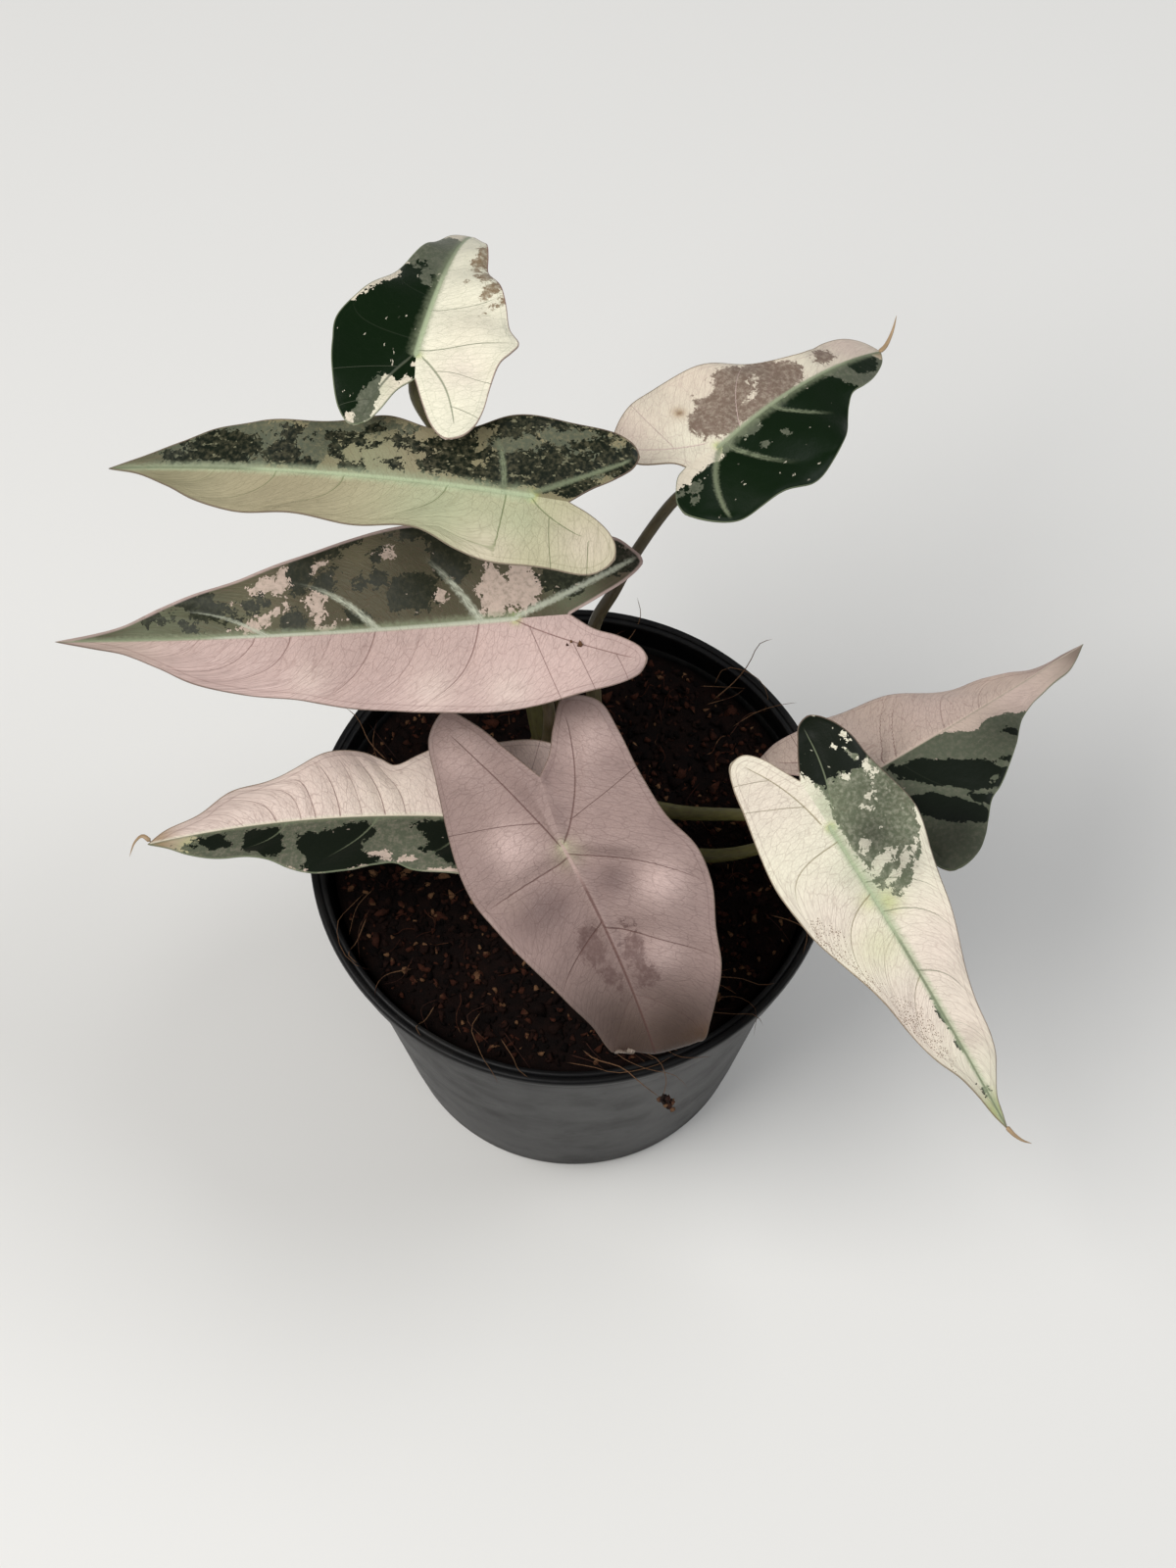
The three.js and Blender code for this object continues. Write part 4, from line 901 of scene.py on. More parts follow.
def skin_group():
    """A stalk's or a dried tip's skin: long streaks, soft mottling and a darker foot."""
    wires, given = new_group("Stalk Skin", {"Foot Length": 45.0}, ("Upper", "Foot", "Streak"))
    along, round_x, round_y = wires.split("skin")
    streak = wires.noise(wires.join(along * 0.06, round_x, round_y), 4.2, 3.0)[0]
    mottle = wires.noise(wires.join(along * 0.3, round_x, round_y), 1.3, 3.0)[0]
    colour = wires.mix(wires.between(along, given["Foot Length"], 0.0), given["Upper"], given["Foot"])
    colour = wires.mix(wires.between(streak, 0.5, 0.72) * 0.6, colour, given["Streak"])
    colour = wires.mix(1.0, colour, wires.between(mottle, -0.5, 0.8), "MULTIPLY")
    return wires.finished(colour, mottle * 0.2 + 0.34, streak + mottle * 0.6, 0.0003, 0.5)


def crumb_group():
    """Coir: each chip has its own tone, with long grain, and the palest chips take the straw colour."""
    wires, given = new_group("Coir", {"Paler": 0.0}, ("Deep", "Brown", "Rust", "Straw"))
    tone_here, other, _ = wires.split("chip")
    place = wires.add("ShaderNodeTexCoord")["Object"]
    grain = wires.noise(wires.warped(place, 900.0, 0.0006), 2600.0, 3.0)[0]
    patch = wires.noise(place, 260.0, 3.0)[0]
    value = tone_here + given["Paler"] + (patch - 0.5) * 0.5
    colour = wires.mix(wires.between(value, 0.15, 0.6), given["Deep"], given["Brown"])
    colour = wires.mix(wires.between(value, 0.62, 0.86), colour, given["Rust"])
    colour = wires.mix(wires.between(value + other * 0.2, 1.02, 1.14), colour, given["Straw"])
    colour = wires.mix(1.0, colour, wires.between(grain, -0.3, 0.85), "MULTIPLY")
    return wires.finished(colour, patch * 0.2 + 0.75, grain + patch, 0.0005, 0.8)


def plastic_group():
    """Moulded nursery plastic: scuffs round the rim, fine ripples and a film of dust."""
    wires, given = new_group("Nursery Plastic", {}, ("Plastic", "Dust"))
    place = wires.add("ShaderNodeTexCoord")["Object"]
    height_up = wires.add("ShaderNodeSeparateXYZ", {0: place})[2]
    film = wires.noise(place, 60.0, 5.0, 0.6)[0]
    scuff = wires.noise(wires.vector("MULTIPLY", place, (1.0, 1.0, 9.0)), 210.0, 4.0, 0.7)[0]
    drops = wires.cells(wires.warped(place, 120.0, 0.004), 130.0)
    dust = (wires.between(film, 0.45, 0.8) * 0.16 + wires.between(scuff, 0.62, 0.8) * 0.22
            + wires.between(drops[0], 0.16, 0.08) * 0.1 + wires.between(height_up, 0.012, 0.0) * 0.12)
    colour = wires.mix(dust, given["Plastic"], given["Dust"])
    return wires.finished(colour, film * 0.16 + 0.34 + dust * 0.5, scuff + film, 0.00018, 0.5)


GROUPS = {
    "Blade Face": blade_face_group, "Blade Back": blade_back_group, "Stalk Skin": skin_group,
    "Coir": crumb_group, "Nursery Plastic": plastic_group,
}


def surface(name, group, given, specular=0.5):
    """A material whose colour, roughness and relief come from a shared group, made on its first use."""
    material = bpy.data.materials.new(name)
    material.use_nodes = True
    wires = Wires(material.node_tree)
    tree = bpy.data.node_groups.get(group) or GROUPS[group]()
    made = wires.add("ShaderNodeGroup", given, node_tree=tree)
    shared = {"Base Color": made["Color"], "Roughness": made["Roughness"], "Normal": made["Normal"]}
    shader = material.node_tree.nodes["Principled BSDF"]
    wires.feed(shader.inputs, {**shared, "Specular IOR Level": specular})
    return material


def skin_surface(name, upper, foot, streak, foot_length=45.0, specular=0.5):
    """A stalk's skin in three of the plant's colours."""
    given = {"Upper": colour_of(upper), "Foot": colour_of(foot), "Streak": colour_of(streak),
             "Foot Length": foot_length}
    return surface(name, "Stalk Skin", given, specular)


def coir_surface(name, paler, specular):
    """Coir in the mix's own colours."""
    mix = bpy.context.scene.potting_mix
    given = {part.title(): tone_of(mix, part) for part in ("deep", "brown", "rust", "straw")}
    return surface(name, "Coir", {**given, "Paler": paler}, specular)


# Curves and meshes


def rounded_curve(points):
    """A fine line that curves evenly through the points, with CURVE_STEPS steps to each stretch."""
    given = np.array(points, float)
    given = np.vstack([2 * given[0] - given[1], given, 2 * given[-1] - given[-2]])
    share = np.linspace(0.0, 1.0, CURVE_STEPS, endpoint=False)[:, None]
    pieces = []
    for a, b, c, d in zip(given, given[1:], given[2:], given[3:]):
        first, middle, last = (np.linalg.norm(q - p) ** 0.5 for p, q in ((a, b), (b, c), (c, d)))
        leave = ((b - a) / first - (c - a) / (first + middle) + (c - b) / middle) * middle
        arrive = ((c - b) / middle - (d - b) / (middle + last) + (d - c) / last) * middle
        pieces.append(b + leave * share + (-3 * b + 3 * c - 2 * leave - arrive) * share**2
                      + (2 * b - 2 * c + leave + arrive) * share**3)
    pieces.append(given[-2][None])
    return np.vstack(pieces)


def run_along(line):
    """How far along the line each of its points lies."""
    return np.concatenate([[0.0], np.cumsum(np.linalg.norm(np.diff(line, axis=0), axis=1))])


def even_line(line, steps):
    """The same line, cut into even steps by length."""
    run = run_along(line)
    at = np.linspace(0.0, run[-1], steps + 1)
    return np.stack([np.interp(at, run, line[:, k]) for k in range(line.shape[1])], axis=1)


def rounded_line(points, steps):
    """The curve through the points, cut into even steps by length."""
    return even_line(rounded_curve(points), steps)


def new_object(name, bm, materials):
    """Makes an object from a bmesh, at the origin."""
    mesh = bpy.data.meshes.new(name)
    bm.to_mesh(mesh)
    bm.free()
    for material in materials:
        mesh.materials.append(material)
    made = bpy.data.objects.new(name, mesh)
    bpy.context.scene.collection.objects.link(made)
    return made


def new_piece(name, bm, materials, replaced=None):
    """Makes a smooth piece, attaches it to the body it rides on, and hides the imported part that it
    replaces.
    """
    piece = new_object(name, bm, materials)
    for polygon in piece.data.polygons:
        polygon.use_smooth = True
    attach(piece, BODY)
    if replaced:
        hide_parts(replaced)
    return piece


def grid_places(bm, columns, rows):
    """Adds a grid and gives the row and column of each of its corner points."""
    made = bmesh.ops.create_grid(bm, x_segments=columns, y_segments=rows, size=1.0)["verts"]
    places = {}
    for vert in made:
        places[vert] = (round((vert.co.y + 1.0) / 2.0 * rows), round((vert.co.x + 1.0) / 2.0 * columns))
    return places


def faces_of(verts):
    return list({face for vert in verts for face in vert.link_faces})


def paint(faces, layer, value):
    """Writes one value at every corner of the faces."""
    for face in faces:
        for corner in face.loops:
            corner[layer] = value


def tube(bm, line, radii, sides, layer=None, flatten=1.0, material=0):
    """A closed tapered tube along a line in millimetres. Its ends run together in points."""
    places = grid_places(bm, sides, len(line) - 1)
    radii = np.array(radii)
    radii[[0, -1]] = 0.0
    run = run_along(line)
    ahead = np.gradient(line, axis=0)
    ahead /= np.linalg.norm(ahead, axis=1)[:, None]
    first = np.cross(ahead[0], (0.0, 0.0, 1.0))
    if np.linalg.norm(first) < 0.1:
        first = np.cross(ahead[0], (0.0, 1.0, 0.0))
    normals = [first / np.linalg.norm(first)]
    for direction in ahead[1:]:
        turned = normals[-1] - direction * np.dot(normals[-1], direction)
        normals.append(turned / np.linalg.norm(turned))
    others = np.cross(ahead, normals)
    skin = {}
    for vert, (i, k) in places.items():
        out = around(FULL_TURN * (k % sides) / sides)
        shift = normals[i] * out[0] + others[i] * out[1] * flatten
        vert.co = (line[i] + shift * radii[i]) * MM
        skin[vert] = (run[i], *out)
    faces = faces_of(places)
    for face in faces:
        face.material_index = material
        if layer is not None:
            for corner in face.loops:
                corner[layer] = skin[corner.vert]
    bmesh.ops.remove_doubles(bm, verts=list(places), dist=MERGE_DISTANCE)
    return [face for face in faces if face.is_valid]


def spun(bm, profile, sides):
    """Turns an open profile of (radius, height) pairs round the vertical axis, in metres."""
    verts = [bm.verts.new((radius, 0.0, height)) for radius, height in profile]
    edges = [bm.edges.new(pair) for pair in zip(verts, verts[1:])]
    bmesh.ops.spin(bm, geom=verts + edges, cent=(0, 0, 0), axis=(0, 0, 1), dvec=(0, 0, 0), angle=FULL_TURN,
                   steps=sides, use_merge=True, use_duplicate=False)
    bmesh.ops.remove_doubles(bm, verts=bm.verts, dist=MERGE_DISTANCE)


# Blades


def axes_at(leaf, x):
    """The blade's own axes at distances x along the midrib: towards the tip, to the left, and up."""
    along = x / leaf["tip"]
    heading = np.radians(leaf["heading"] + leaf["sweep"] * np.maximum(along, 0.0))
    hook = leaf["hook"] * smooth((x - leaf["hook_from"]) / leaf["hook_length"])
    bend = np.where(x > 0, leaf["droop"] * along + hook, leaf["lobe_droop"] * x / LOBE_LENGTH)
    pitch = np.radians(leaf["pitch"] - bend)
    roll = math.radians(leaf["roll"])
    forward = np.stack(
        [np.cos(heading) * np.cos(pitch), np.sin(heading) * np.cos(pitch), np.sin(pitch)], axis=-1)
    level = np.stack([-np.sin(heading), np.cos(heading), 0.0 * heading], axis=-1)
    left = level * math.cos(roll) + np.cross(forward, level) * math.sin(roll)
    return forward, left, np.cross(forward, left)


def midrib_places(leaf, x):
    """Places along the midrib, summed in short steps from the stalk's joint."""
    stations = np.arange(-MIDRIB_REACH, leaf["tip"] + 8.0, MIDRIB_STEP)
    steps = axes_at(leaf, stations + MIDRIB_STEP / 2)[0] * MIDRIB_STEP
    run = np.vstack([np.zeros(3), np.cumsum(steps, axis=0)])
    at = np.append(stations, stations[-1] + MIDRIB_STEP)
    shift = [np.interp(x, at, run[:, k]) - np.interp(0.0, at, run[:, k]) for k in range(3)]
    return np.stack([leaf["joint"][k] + shift[k] for k in range(3)], axis=-1)


def patch_field(patches, x, y):
    """How far each point lies inside the nearest patch, in millimetres: below 0 outside them all."""
    field = np.full(x.shape, BARE)
    for px, py, long, wide, *turn in patches:
        angle = math.radians(turn[0] if turn else 0.0)
        dx = (x - px) * math.cos(angle) + (y - py) * math.sin(angle)
        dy = (y - py) * math.cos(angle) - (x - px) * math.sin(angle)
        field = np.maximum(field, (1.0 - np.hypot(dx / long, dy / wide)) * min(long, wide))
    return field


def distance_to_line(x, y, line):
    """The distance from each point to a line of straight pieces."""
    nearest = np.full(x.shape, 1e9)
    for (ax, ay), (bx, by) in zip(line, line[1:]):
        dx, dy = bx - ax, by - ay
        share = np.clip(((x - ax) * dx + (y - ay) * dy) / max(dx * dx + dy * dy, 1e-9), 0.0, 1.0)
        nearest = np.minimum(nearest, np.hypot(x - ax - share * dx, y - ay - share * dy))
    return nearest


def half_lines(leaf, half):
    """One half's inner and outer line, both from the tip to the end of the lobe, and its inlet."""
    tip = (leaf["tip"], 0.0)
    outline = rounded_curve([tip, *half["margin"], *reversed(half["inlet"]), leaf["sinus"]])
    lobe_end = len(half["margin"]) * CURVE_STEPS
    outer = even_line(outline[:lobe_end + 1], BLADE_ROWS)
    inlet = even_line(outline[lobe_end:][::-1], LOBE_ROWS)
    spine = even_line(np.array([tip, (0.0, 0.0), leaf["sinus"]], float), BLADE_ROWS - LOBE_ROWS)
    return np.vstack([spine, inlet[1:]]), outer, inlet


def side_veins(half, x, across):
    """Where the side vein through each point starts, its number, the spacing and the strength."""
    starts, leans, weights = (np.array(part, float) for part in zip(*half["laterals"]))
    bow = half["bow"]
    x0 = x - np.interp(x, starts, leans) * ((1.0 - bow) * across + bow * across**3)
    knots = np.concatenate([[starts[0] - 14.0], starts, [starts[-1] + 14.0]])
    numbers = np.arange(len(knots))
    phase = np.interp(x0, knots, numbers)
    spacing = np.interp(phase, numbers, np.gradient(knots))
    strength = np.interp(x0, knots, np.concatenate([[0.0], weights, [0.0]]))
    strength = strength * smooth((x0 - starts[0] + 5.0) / 3.0) * smooth((starts[-1] + 7.0 - x0) / 4.0)
    return x0, phase, spacing, strength


def lobe_veins(half, x, y, x0, side):
    """The lobe's rib and the veins that leave it."""
    ax, ay, bx, by, bow = half["costa"]
    reach = math.hypot(bx - ax, by - ay)
    ux, uy = (bx - ax) / reach, (by - ay) / reach
    run = (x - ax) * ux + (y - ay) * uy
    share = np.clip(run / reach, 0.0, 1.0)
    costa = (y - ay) * ux - (x - ax) * uy - bow * side * 4.0 * share * (1.0 - share)
    costa_strength = smooth(run / 1.5) * smooth((reach * 1.08 - run) / (0.3 * reach)) * (1.0 - 0.6 * share)
    outward = -costa * side
    behind = smooth((half["laterals"][0][0] - 2.0 - x0) / 4.0)
    phase = (run - LOBE_VEIN_LEAN * np.abs(outward) - half["first"]) / LOBE_VEIN_SPACING
    strength = (behind * smooth((phase + 0.45) / 0.1) * smooth((half["branches"] - phase) / 0.3)
                * smooth((outward + 0.5) / 1.0))
    return costa, costa_strength, outward, phase, strength


def half_tint(leaf, half, side, x, y):
    """The ground colour of each point with its washes, and its shade as the alpha, with painted highlights
    and shade.
    """
    shade = np.ones(x.shape)
    for sx, sy, radius, share in half["shades"]:
        shade = shade * (1.0 - share * bell(np.hypot(x - sx, y - sy), radius))
    tint = np.broadcast_to(np.array(colour_of(half["ground"])), (*x.shape, 4)).copy()
    joint = (leaf["joint_colour"], -0.5, 0.4 * side, 1.3, 0.75)
    for name, wx, wy, radius, strength in [*half["washes"], joint]:
        share = strength * bell(np.hypot(x - wx, y - wy), radius)[..., None]
        tint = tint * (1.0 - share) + np.array(colour_of(name)) * share
    tint[..., 3] = shade
    return tint


def half_fields(leaf, half, side):
    """Everything that the mesh and the materials need at each corner of one half, by row and column."""
    inner, outer, inlet = half_lines(leaf, half)
    step = np.linspace(0.0, 1.0, BLADE_COLUMNS + 1)
    across = np.broadcast_to(step - 0.1 * np.sin(FULL_TURN * step), (BLADE_ROWS + 1, BLADE_COLUMNS + 1))
    x, y = (inner[:, k:k + 1] * (1 - across) + outer[:, k:k + 1] * across for k in range(2))
    edge = np.minimum(distance_to_line(x, y, outer[::2]), distance_to_line(x, y, inlet[::2]))
    tip = leaf["tip"]
    x0, phase, spacing, strength = side_veins(half, x, across)
    costa, costa_strength, outward, lobe_phase, lobe_strength = lobe_veins(half, x, y, x0, side)
    costa_on = smooth(costa_strength * 3.0)

    # Relief: the fold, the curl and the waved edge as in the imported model, then the veins and puckers.
    width = np.abs(y)
    span = np.hypot(outer[:, :1] - inner[:, :1], outer[:, 1:] - inner[:, 1:])
    loose = smooth((tip - x) / CALM_TIP_LENGTH) * smooth(span / CALM_EDGE_WIDTH)
    turn = FULL_TURN * x / leaf["wave_length"] + side * EDGE_WAVE_SHIFT + leaf["heading"]
    rise = math.tan(math.radians(leaf["fold"])) * width - leaf["curl"] * (width / BLADE_HALF_WIDTH) ** 2
    rise = rise + leaf["wave"] * loose * across**2 * np.sin(turn)
    free = smooth(width / 1.6) * smooth(across / 0.12) * smooth(edge / 1.2)
    aside = np.abs((phase + 0.5) % 1.0 - 0.5) * spacing
    quilt = leaf["quilt"]
    sunk = LATERAL_GROOVE * bell(aside, VEIN_GROOVE_WIDTH)
    sunk = (sunk + quilt * bell(aside, LATERAL_QUILT_SHARE * spacing)) * strength * (1.0 - 0.7 * across**2)
    costa_sunk = COSTA_GROOVE * bell(costa, VEIN_GROOVE_WIDTH)
    costa_sunk = costa_sunk + COSTA_QUILT * quilt * bell(costa, COSTA_QUILT_WIDTH)
    sunk = sunk + costa_sunk * costa_on
    rib_taper = np.where(x > 0, 1.0 - 0.75 * np.maximum(x, 0.0) / tip, 1.0) * smooth((x + 1.5) / 1.5)
    rise = rise - bpy.context.scene.plant_sizes.quilting * sunk * free
    rise = rise - GROOVE_DEPTH * bell(width, GROOVE_WIDTH) * rib_taper
    for px, py, size, height in leaf["puckers"]:
        pucker = height * bell(np.hypot(x - px, y - py), size)
        rise = rise + pucker * smooth(across / 0.1) * smooth(edge / 2.0)
    rise = rise - EDGE_ROLL * (1.0 - smooth(edge / EDGE_ROLL_WIDTH)) * loose * smooth(across / 0.2)
    _, left, up = axes_at(leaf, x)
    places = midrib_places(leaf, x) + left * y[..., None] + up * (rise + BLADE_THICKNESS / 2)[..., None]

    ridge = smooth(1.0 - width / MIDRIB_HALF_WIDTH) * smooth((tip - x) / tip) * (x > leaf["sinus"][0])
    thick = EDGE_THICKNESS + (BLADE_THICKNESS - EDGE_THICKNESS) * smooth(edge / EDGE_TAPER)
    veins = COSTA_DEPTH * bell(costa, BACK_VEIN_WIDTH) * costa_on
    veins = veins + LATERAL_DEPTH * bell(aside, BACK_VEIN_WIDTH) * strength
    thick = thick + MIDRIB_DEPTH * ridge + veins * free
    dark = np.minimum(patch_field(half["dark"], x, y), -patch_field(half["lit"], x, y))
    blotch = np.minimum(patch_field(half["blotch"], x, y), -patch_field(half["bare"], x, y))
    return {
        "place": places * MM,
        "thick": thick / (BLADE_THICKNESS + MIDRIB_DEPTH),
        "tint": half_tint(leaf, half, side, x, y),
        "plan": np.stack([x, y, edge], axis=-1),
        "flow": np.stack([x0, across * span, across], axis=-1),
        "laterals": np.stack([phase, spacing, strength], axis=-1),
        "lobe_veins": np.stack([lobe_phase, lobe_strength, outward], axis=-1),
        "ribs": np.stack([costa, costa_strength, rib_taper], axis=-1),
        "marks": np.stack([dark, blotch, patch_field(half["specks"], x, y)], axis=-1),
    }


SHEET_FIELDS = ("plan", "flow", "laterals", "lobe_veins", "ribs", "marks")


def add_half(bm, fields, side, material):
    """Adds one half of the blade's sheet, its face up, with its fields at every corner."""
    weights = bm.verts.layers.deform.verify()
    places = grid_places(bm, BLADE_COLUMNS, BLADE_ROWS)
    layers = {name: bm.loops.layers.float_vector[name] for name in SHEET_FIELDS}
    layers["tint"] = bm.loops.layers.float_color["tint"]
    lists = {name: fields[name].tolist() for name in layers}
    for vert, (row, column) in places.items():
        vert.co = fields["place"][row, column]
        vert[weights][0] = float(fields["thick"][row, column])
    faces = faces_of(places)
    for face in faces:
        face.material_index = material
        for corner in face.loops:
            row, column = places[corner.vert]
            for name, layer in layers.items():
                corner[layer] = lists[name][row][column]
    if side < 0:
        bmesh.ops.reverse_faces(bm, faces=faces)


def blade_materials(leaf):
    """The two upper faces, the underside and the dried tip."""
    name = leaf["name"]
    rib, rib_far, rib_width, rib_change = leaf["rib"]
    made = []
    for word in ("left", "right"):
        half = leaf[word]
        given = {
            "Seed": leaf["seed"], "Rib": colour_of(rib), "Rib Far": colour_of(rib_far),
            "Rib Width": rib_width, "Rib Change": rib_change, "Speck": colour_of("dry"),
            "Dark": colour_of(half["dark_colour"]), "Blotch": colour_of(half["blotch_colour"]),
        }
        for key, value in half["finish"].items():
            given[key.replace("_", " ").title()] = colour_of(value) if isinstance(value, str) else value
        made.append(surface(f"blade_{name}_{word}", "Blade Face", given, specular=0.13))
    back = {"Seed": leaf["seed"], "Under": colour_of("underside"), "Vein": colour_of("rose_cream"),
            "Rib Width": rib_width, "Lateral Width": 0.6, "Costa Width": 0.9}
    made.append(surface(f"blade_{name}_back", "Blade Back", back, specular=0.35))
    made.append(skin_surface(f"blade_{name}_tip", "tan", "tan", "dry", foot_length=4.0))
    return made


def add_curled_tip(bm, leaf, layer):
    """The dried end of a tip: a thin twisted point that leaves the blade's end."""
    points = []
    for x, y, lift in leaf["curl_tip"]:
        station = np.array([min(x, leaf["tip"])])
        forward, left, up = (axis[0] for axis in axes_at(leaf, station))
        place = midrib_places(leaf, station)[0] + forward * (x - station[0])
        points.append(place + left * y + up * (lift + BLADE_THICKNESS / 2 - 0.35))
    share = np.linspace(0.0, 1.0, CURLED_TIP_STEPS + 1)
    radii = CURLED_TIP_RADIUS * (1.0 - share) ** 0.7 * smooth(share * 8.0 + 0.35)
    tube(bm, rounded_line(points, CURLED_TIP_STEPS), radii, 8, layer, flatten=0.5, material=3)


def make_blade(leaf):
    """Both halves as one sheet, thickened, with the dried tip where the leaf has one."""
    name = leaf["name"]
    bm = bmesh.new()
    for field in (*SHEET_FIELDS, "skin"):
        bm.loops.layers.float_vector.new(field)
    bm.loops.layers.float_color.new("tint")
    for material, (word, side) in enumerate((("left", 1.0), ("right", -1.0))):
        add_half(bm, half_fields(leaf, leaf[word], side), side, material)
    bmesh.ops.remove_doubles(bm, verts=bm.verts, dist=SEAM_DISTANCE)
    sheet = new_object("sheet_" + name, bm, [None] * 3)
    group = sheet.vertex_groups.new(name="thickness")
    solid = sheet.modifiers.new("Thickness", "SOLIDIFY")
    solid.thickness = (BLADE_THICKNESS + MIDRIB_DEPTH) * MM
    solid.offset = -1.0
    solid.vertex_group = group.name
    solid.thickness_vertex_group = 0.0
    solid.material_offset = 2
    solid.material_offset_rim = 0
    shape = bpy.data.meshes.new_from_object(sheet.evaluated_get(bpy.context.evaluated_depsgraph_get()))
    bm = bmesh.new()
    bm.from_mesh(shape)
    bpy.data.objects.remove(sheet)
    bpy.data.meshes.remove(shape)
    if leaf["curl_tip"]:
        add_curled_tip(bm, leaf, bm.loops.layers.float_vector["skin"])
    new_piece("blade_" + name, bm, blade_materials(leaf), f"leaf_{name}_blade")


# Stalks, crown, mix and pot


def stalk_line(leaf):
    """The stalk's centre line, from its foot in the mix to the blade's joint."""
    foot = CROWN_PLACE + around(math.radians(leaf["base"]), STALK_RING)
    forward, _, up = (axis[0] for axis in axes_at(leaf, np.array([0.0])))
    approach = 0.85 * up + 0.5 * forward
    approach /= np.linalg.norm(approach)
    lean = math.sqrt(1.0 - float(np.dot(approach, up)) ** 2)
    drop = BLADE_THICKNESS / 2 + MIDRIB_DEPTH + STALK_GAP + STALK_TOP_RADIUS * lean
    end = np.array(leaf["joint"], float) - up * drop
    neck = end - approach * STALK_NECK
    joint = end + approach * (drop - STALK_SINK)
    points = [(*foot, STALK_FOOT), (*foot, STALK_COLLAR), *leaf["route"], neck, end, joint]
    return rounded_line(points, STALK_STEPS)


def make_stalk(leaf):
    name = leaf["name"]
    line = stalk_line(leaf)
    share = np.linspace(0.0, 1.0, STALK_STEPS + 1)
    radii = STALK_TOP_RADIUS + (STALK_BASE_RADIUS - STALK_TOP_RADIUS) * (1.0 - share) ** 2
    above = np.maximum(line[:, 2] - STALK_COLLAR, 0.0)
    radii = radii * (1.0 + STALK_FOOT_SWELL * np.exp(-above / STALK_FOOT_LENGTH))
    radii = radii + STALK_END_SWELL * bell((1.0 - share) * run_along(line)[-1], STALK_END_LENGTH)
    radii[-2] *= 0.75
    bm = bmesh.new()
    tube(bm, line, radii, STALK_SIDES, bm.loops.layers.float_vector.new("skin"))
    material = skin_surface(f"stalk_{name}_skin", *leaf["stalk"], "stalk_brown", specular=0.45)
    new_piece(f"stalk_{name}", bm, [material], f"leaf_{name}_stalk")


def make_crown():
    """The short stem between the stalks: a blunt cone with old leaf scars and scraps of dry sheath."""
    low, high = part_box("crown")
    centre = (low + high) / 2
    radius = (high.x - low.x) / 2
    foot = low.z
    profile = [(0.0, foot), (radius * 0.9, foot)]
    for i in range(CROWN_RINGS + 1):
        share = i / CROWN_RINGS
        wide = radius * (1.0 - 0.66 * smooth((share - 0.5) / 0.5)) * 0.975
        scar = 0.2 * MM * math.sin(share * FULL_TURN * CROWN_SCARS) * (1.0 - share)
        profile.append((max(wide + scar, 0.4 * MM), foot + 0.8 * MM + (high.z - foot - 0.8 * MM) * share))
    profile.append((0.0, high.z))
    bm = bmesh.new()
    layer = bm.loops.layers.float_vector.new("skin")
    spun(bm, profile, CROWN_SIDES)
    bmesh.ops.recalc_face_normals(bm, faces=bm.faces)
    for face in bm.faces:
        for corner in face.loops:
            place = corner.vert.co
            corner[layer] = ((place.z - foot) / MM, *around(math.atan2(place.y, place.x)))
    bmesh.ops.translate(bm, verts=bm.verts, vec=(centre.x, centre.y, 0.0))

    draw = np.random.default_rng(CROWN_SEED)
    middle = np.array(centre)[:2] / MM
    near = radius / MM * 0.82
    for i in range(CROWN_SCRAPS):
        out = around(i * SCRAP_TURN + draw.uniform(-0.2, 0.2))
        height = draw.uniform(5.0, 12.0)
        points = [(*(middle + out * (near + shift)), SCRAP_FOOT + height * share)
                  for shift, share in ((0.0, 0.0), (0.2, 0.5), (-0.6, 1.0))]
        radii = 1.3 * np.sin(np.linspace(0.25, math.pi, 9)) ** 0.8
        tube(bm, rounded_line(points, 8), radii, 6, layer, flatten=0.28, material=1)
    skin = skin_surface("crown_skin", "stalk_olive", "stalk_brown", "dry", foot_length=14.0)
    sheath = skin_surface("crown_sheath", "tan", "dry", "dry", foot_length=8.0)
    new_piece("crown_stem", bm, [skin, sheath], "crown")


def pot_profile(pot):
    """The pot's section from the foot, up the outside, over the lip and down the inside to the floor."""
    top = pot.height
    ledge = top - pot.collar_depth
    lip = top - pot.lip_depth
    rise = pot.shoulder_radius - pot.base_radius
    inside = pot.base_radius + rise * pot.floor / ledge - pot.wall
    inner_shoulder = pot.shoulder_radius - pot.wall
    inner_collar = pot.collar_radius - pot.wall

    def near(radius, height, *shifts):
        """Places given in millimetres out from a radius and up from a height."""
        return [(radius + out * MM, height + up * MM) for out, up in shifts]

    return [
        *near(pot.base_radius, 0.0, (-1.5, 0), (-0.9, 0.15), (-0.2, 0.8), (0, 1.5)),
        *[(pot.base_radius + rise * share, ledge * share) for share in WALL_SHARES],
        *near(pot.shoulder_radius, ledge, (0, 0), (0.9, 0.02)),
        *near(pot.collar_radius, ledge, (-0.5, 0.15), (0, 0.6), (0.25, 5)),
        *near(pot.collar_radius, lip, (0.45, -0.4), (0.6, 0), (1.2, 0.15)),
        *near(pot.rim_radius, lip, (-0.25, 0.25), (0, 0.6)),
        *near(pot.rim_radius, top, (0, -0.8), (-0.25, -0.25), (-0.7, 0), (-1.6, 0)),
        *near(pot.rim_radius, top, (-1.95, -0.2), (-2.2, -0.55), (-2.45, -0.2), (-2.75, 0)),
        *near(pot.rim_radius - pot.lip_width, top, (0.55, 0), (0.15, -0.2), (0, -0.7)),
        *near(inner_collar, lip, (-0.4, 0)),
        *near(inner_collar, ledge, (-0.6, 2.2)),
        *near(inner_shoulder, ledge, (0.5, 0.7), (0, 0)),
        *[(inside + (inner_shoulder - inside) * share, pot.floor + (ledge - pot.floor) * share)
          for share in INSIDE_SHARES],
    ]


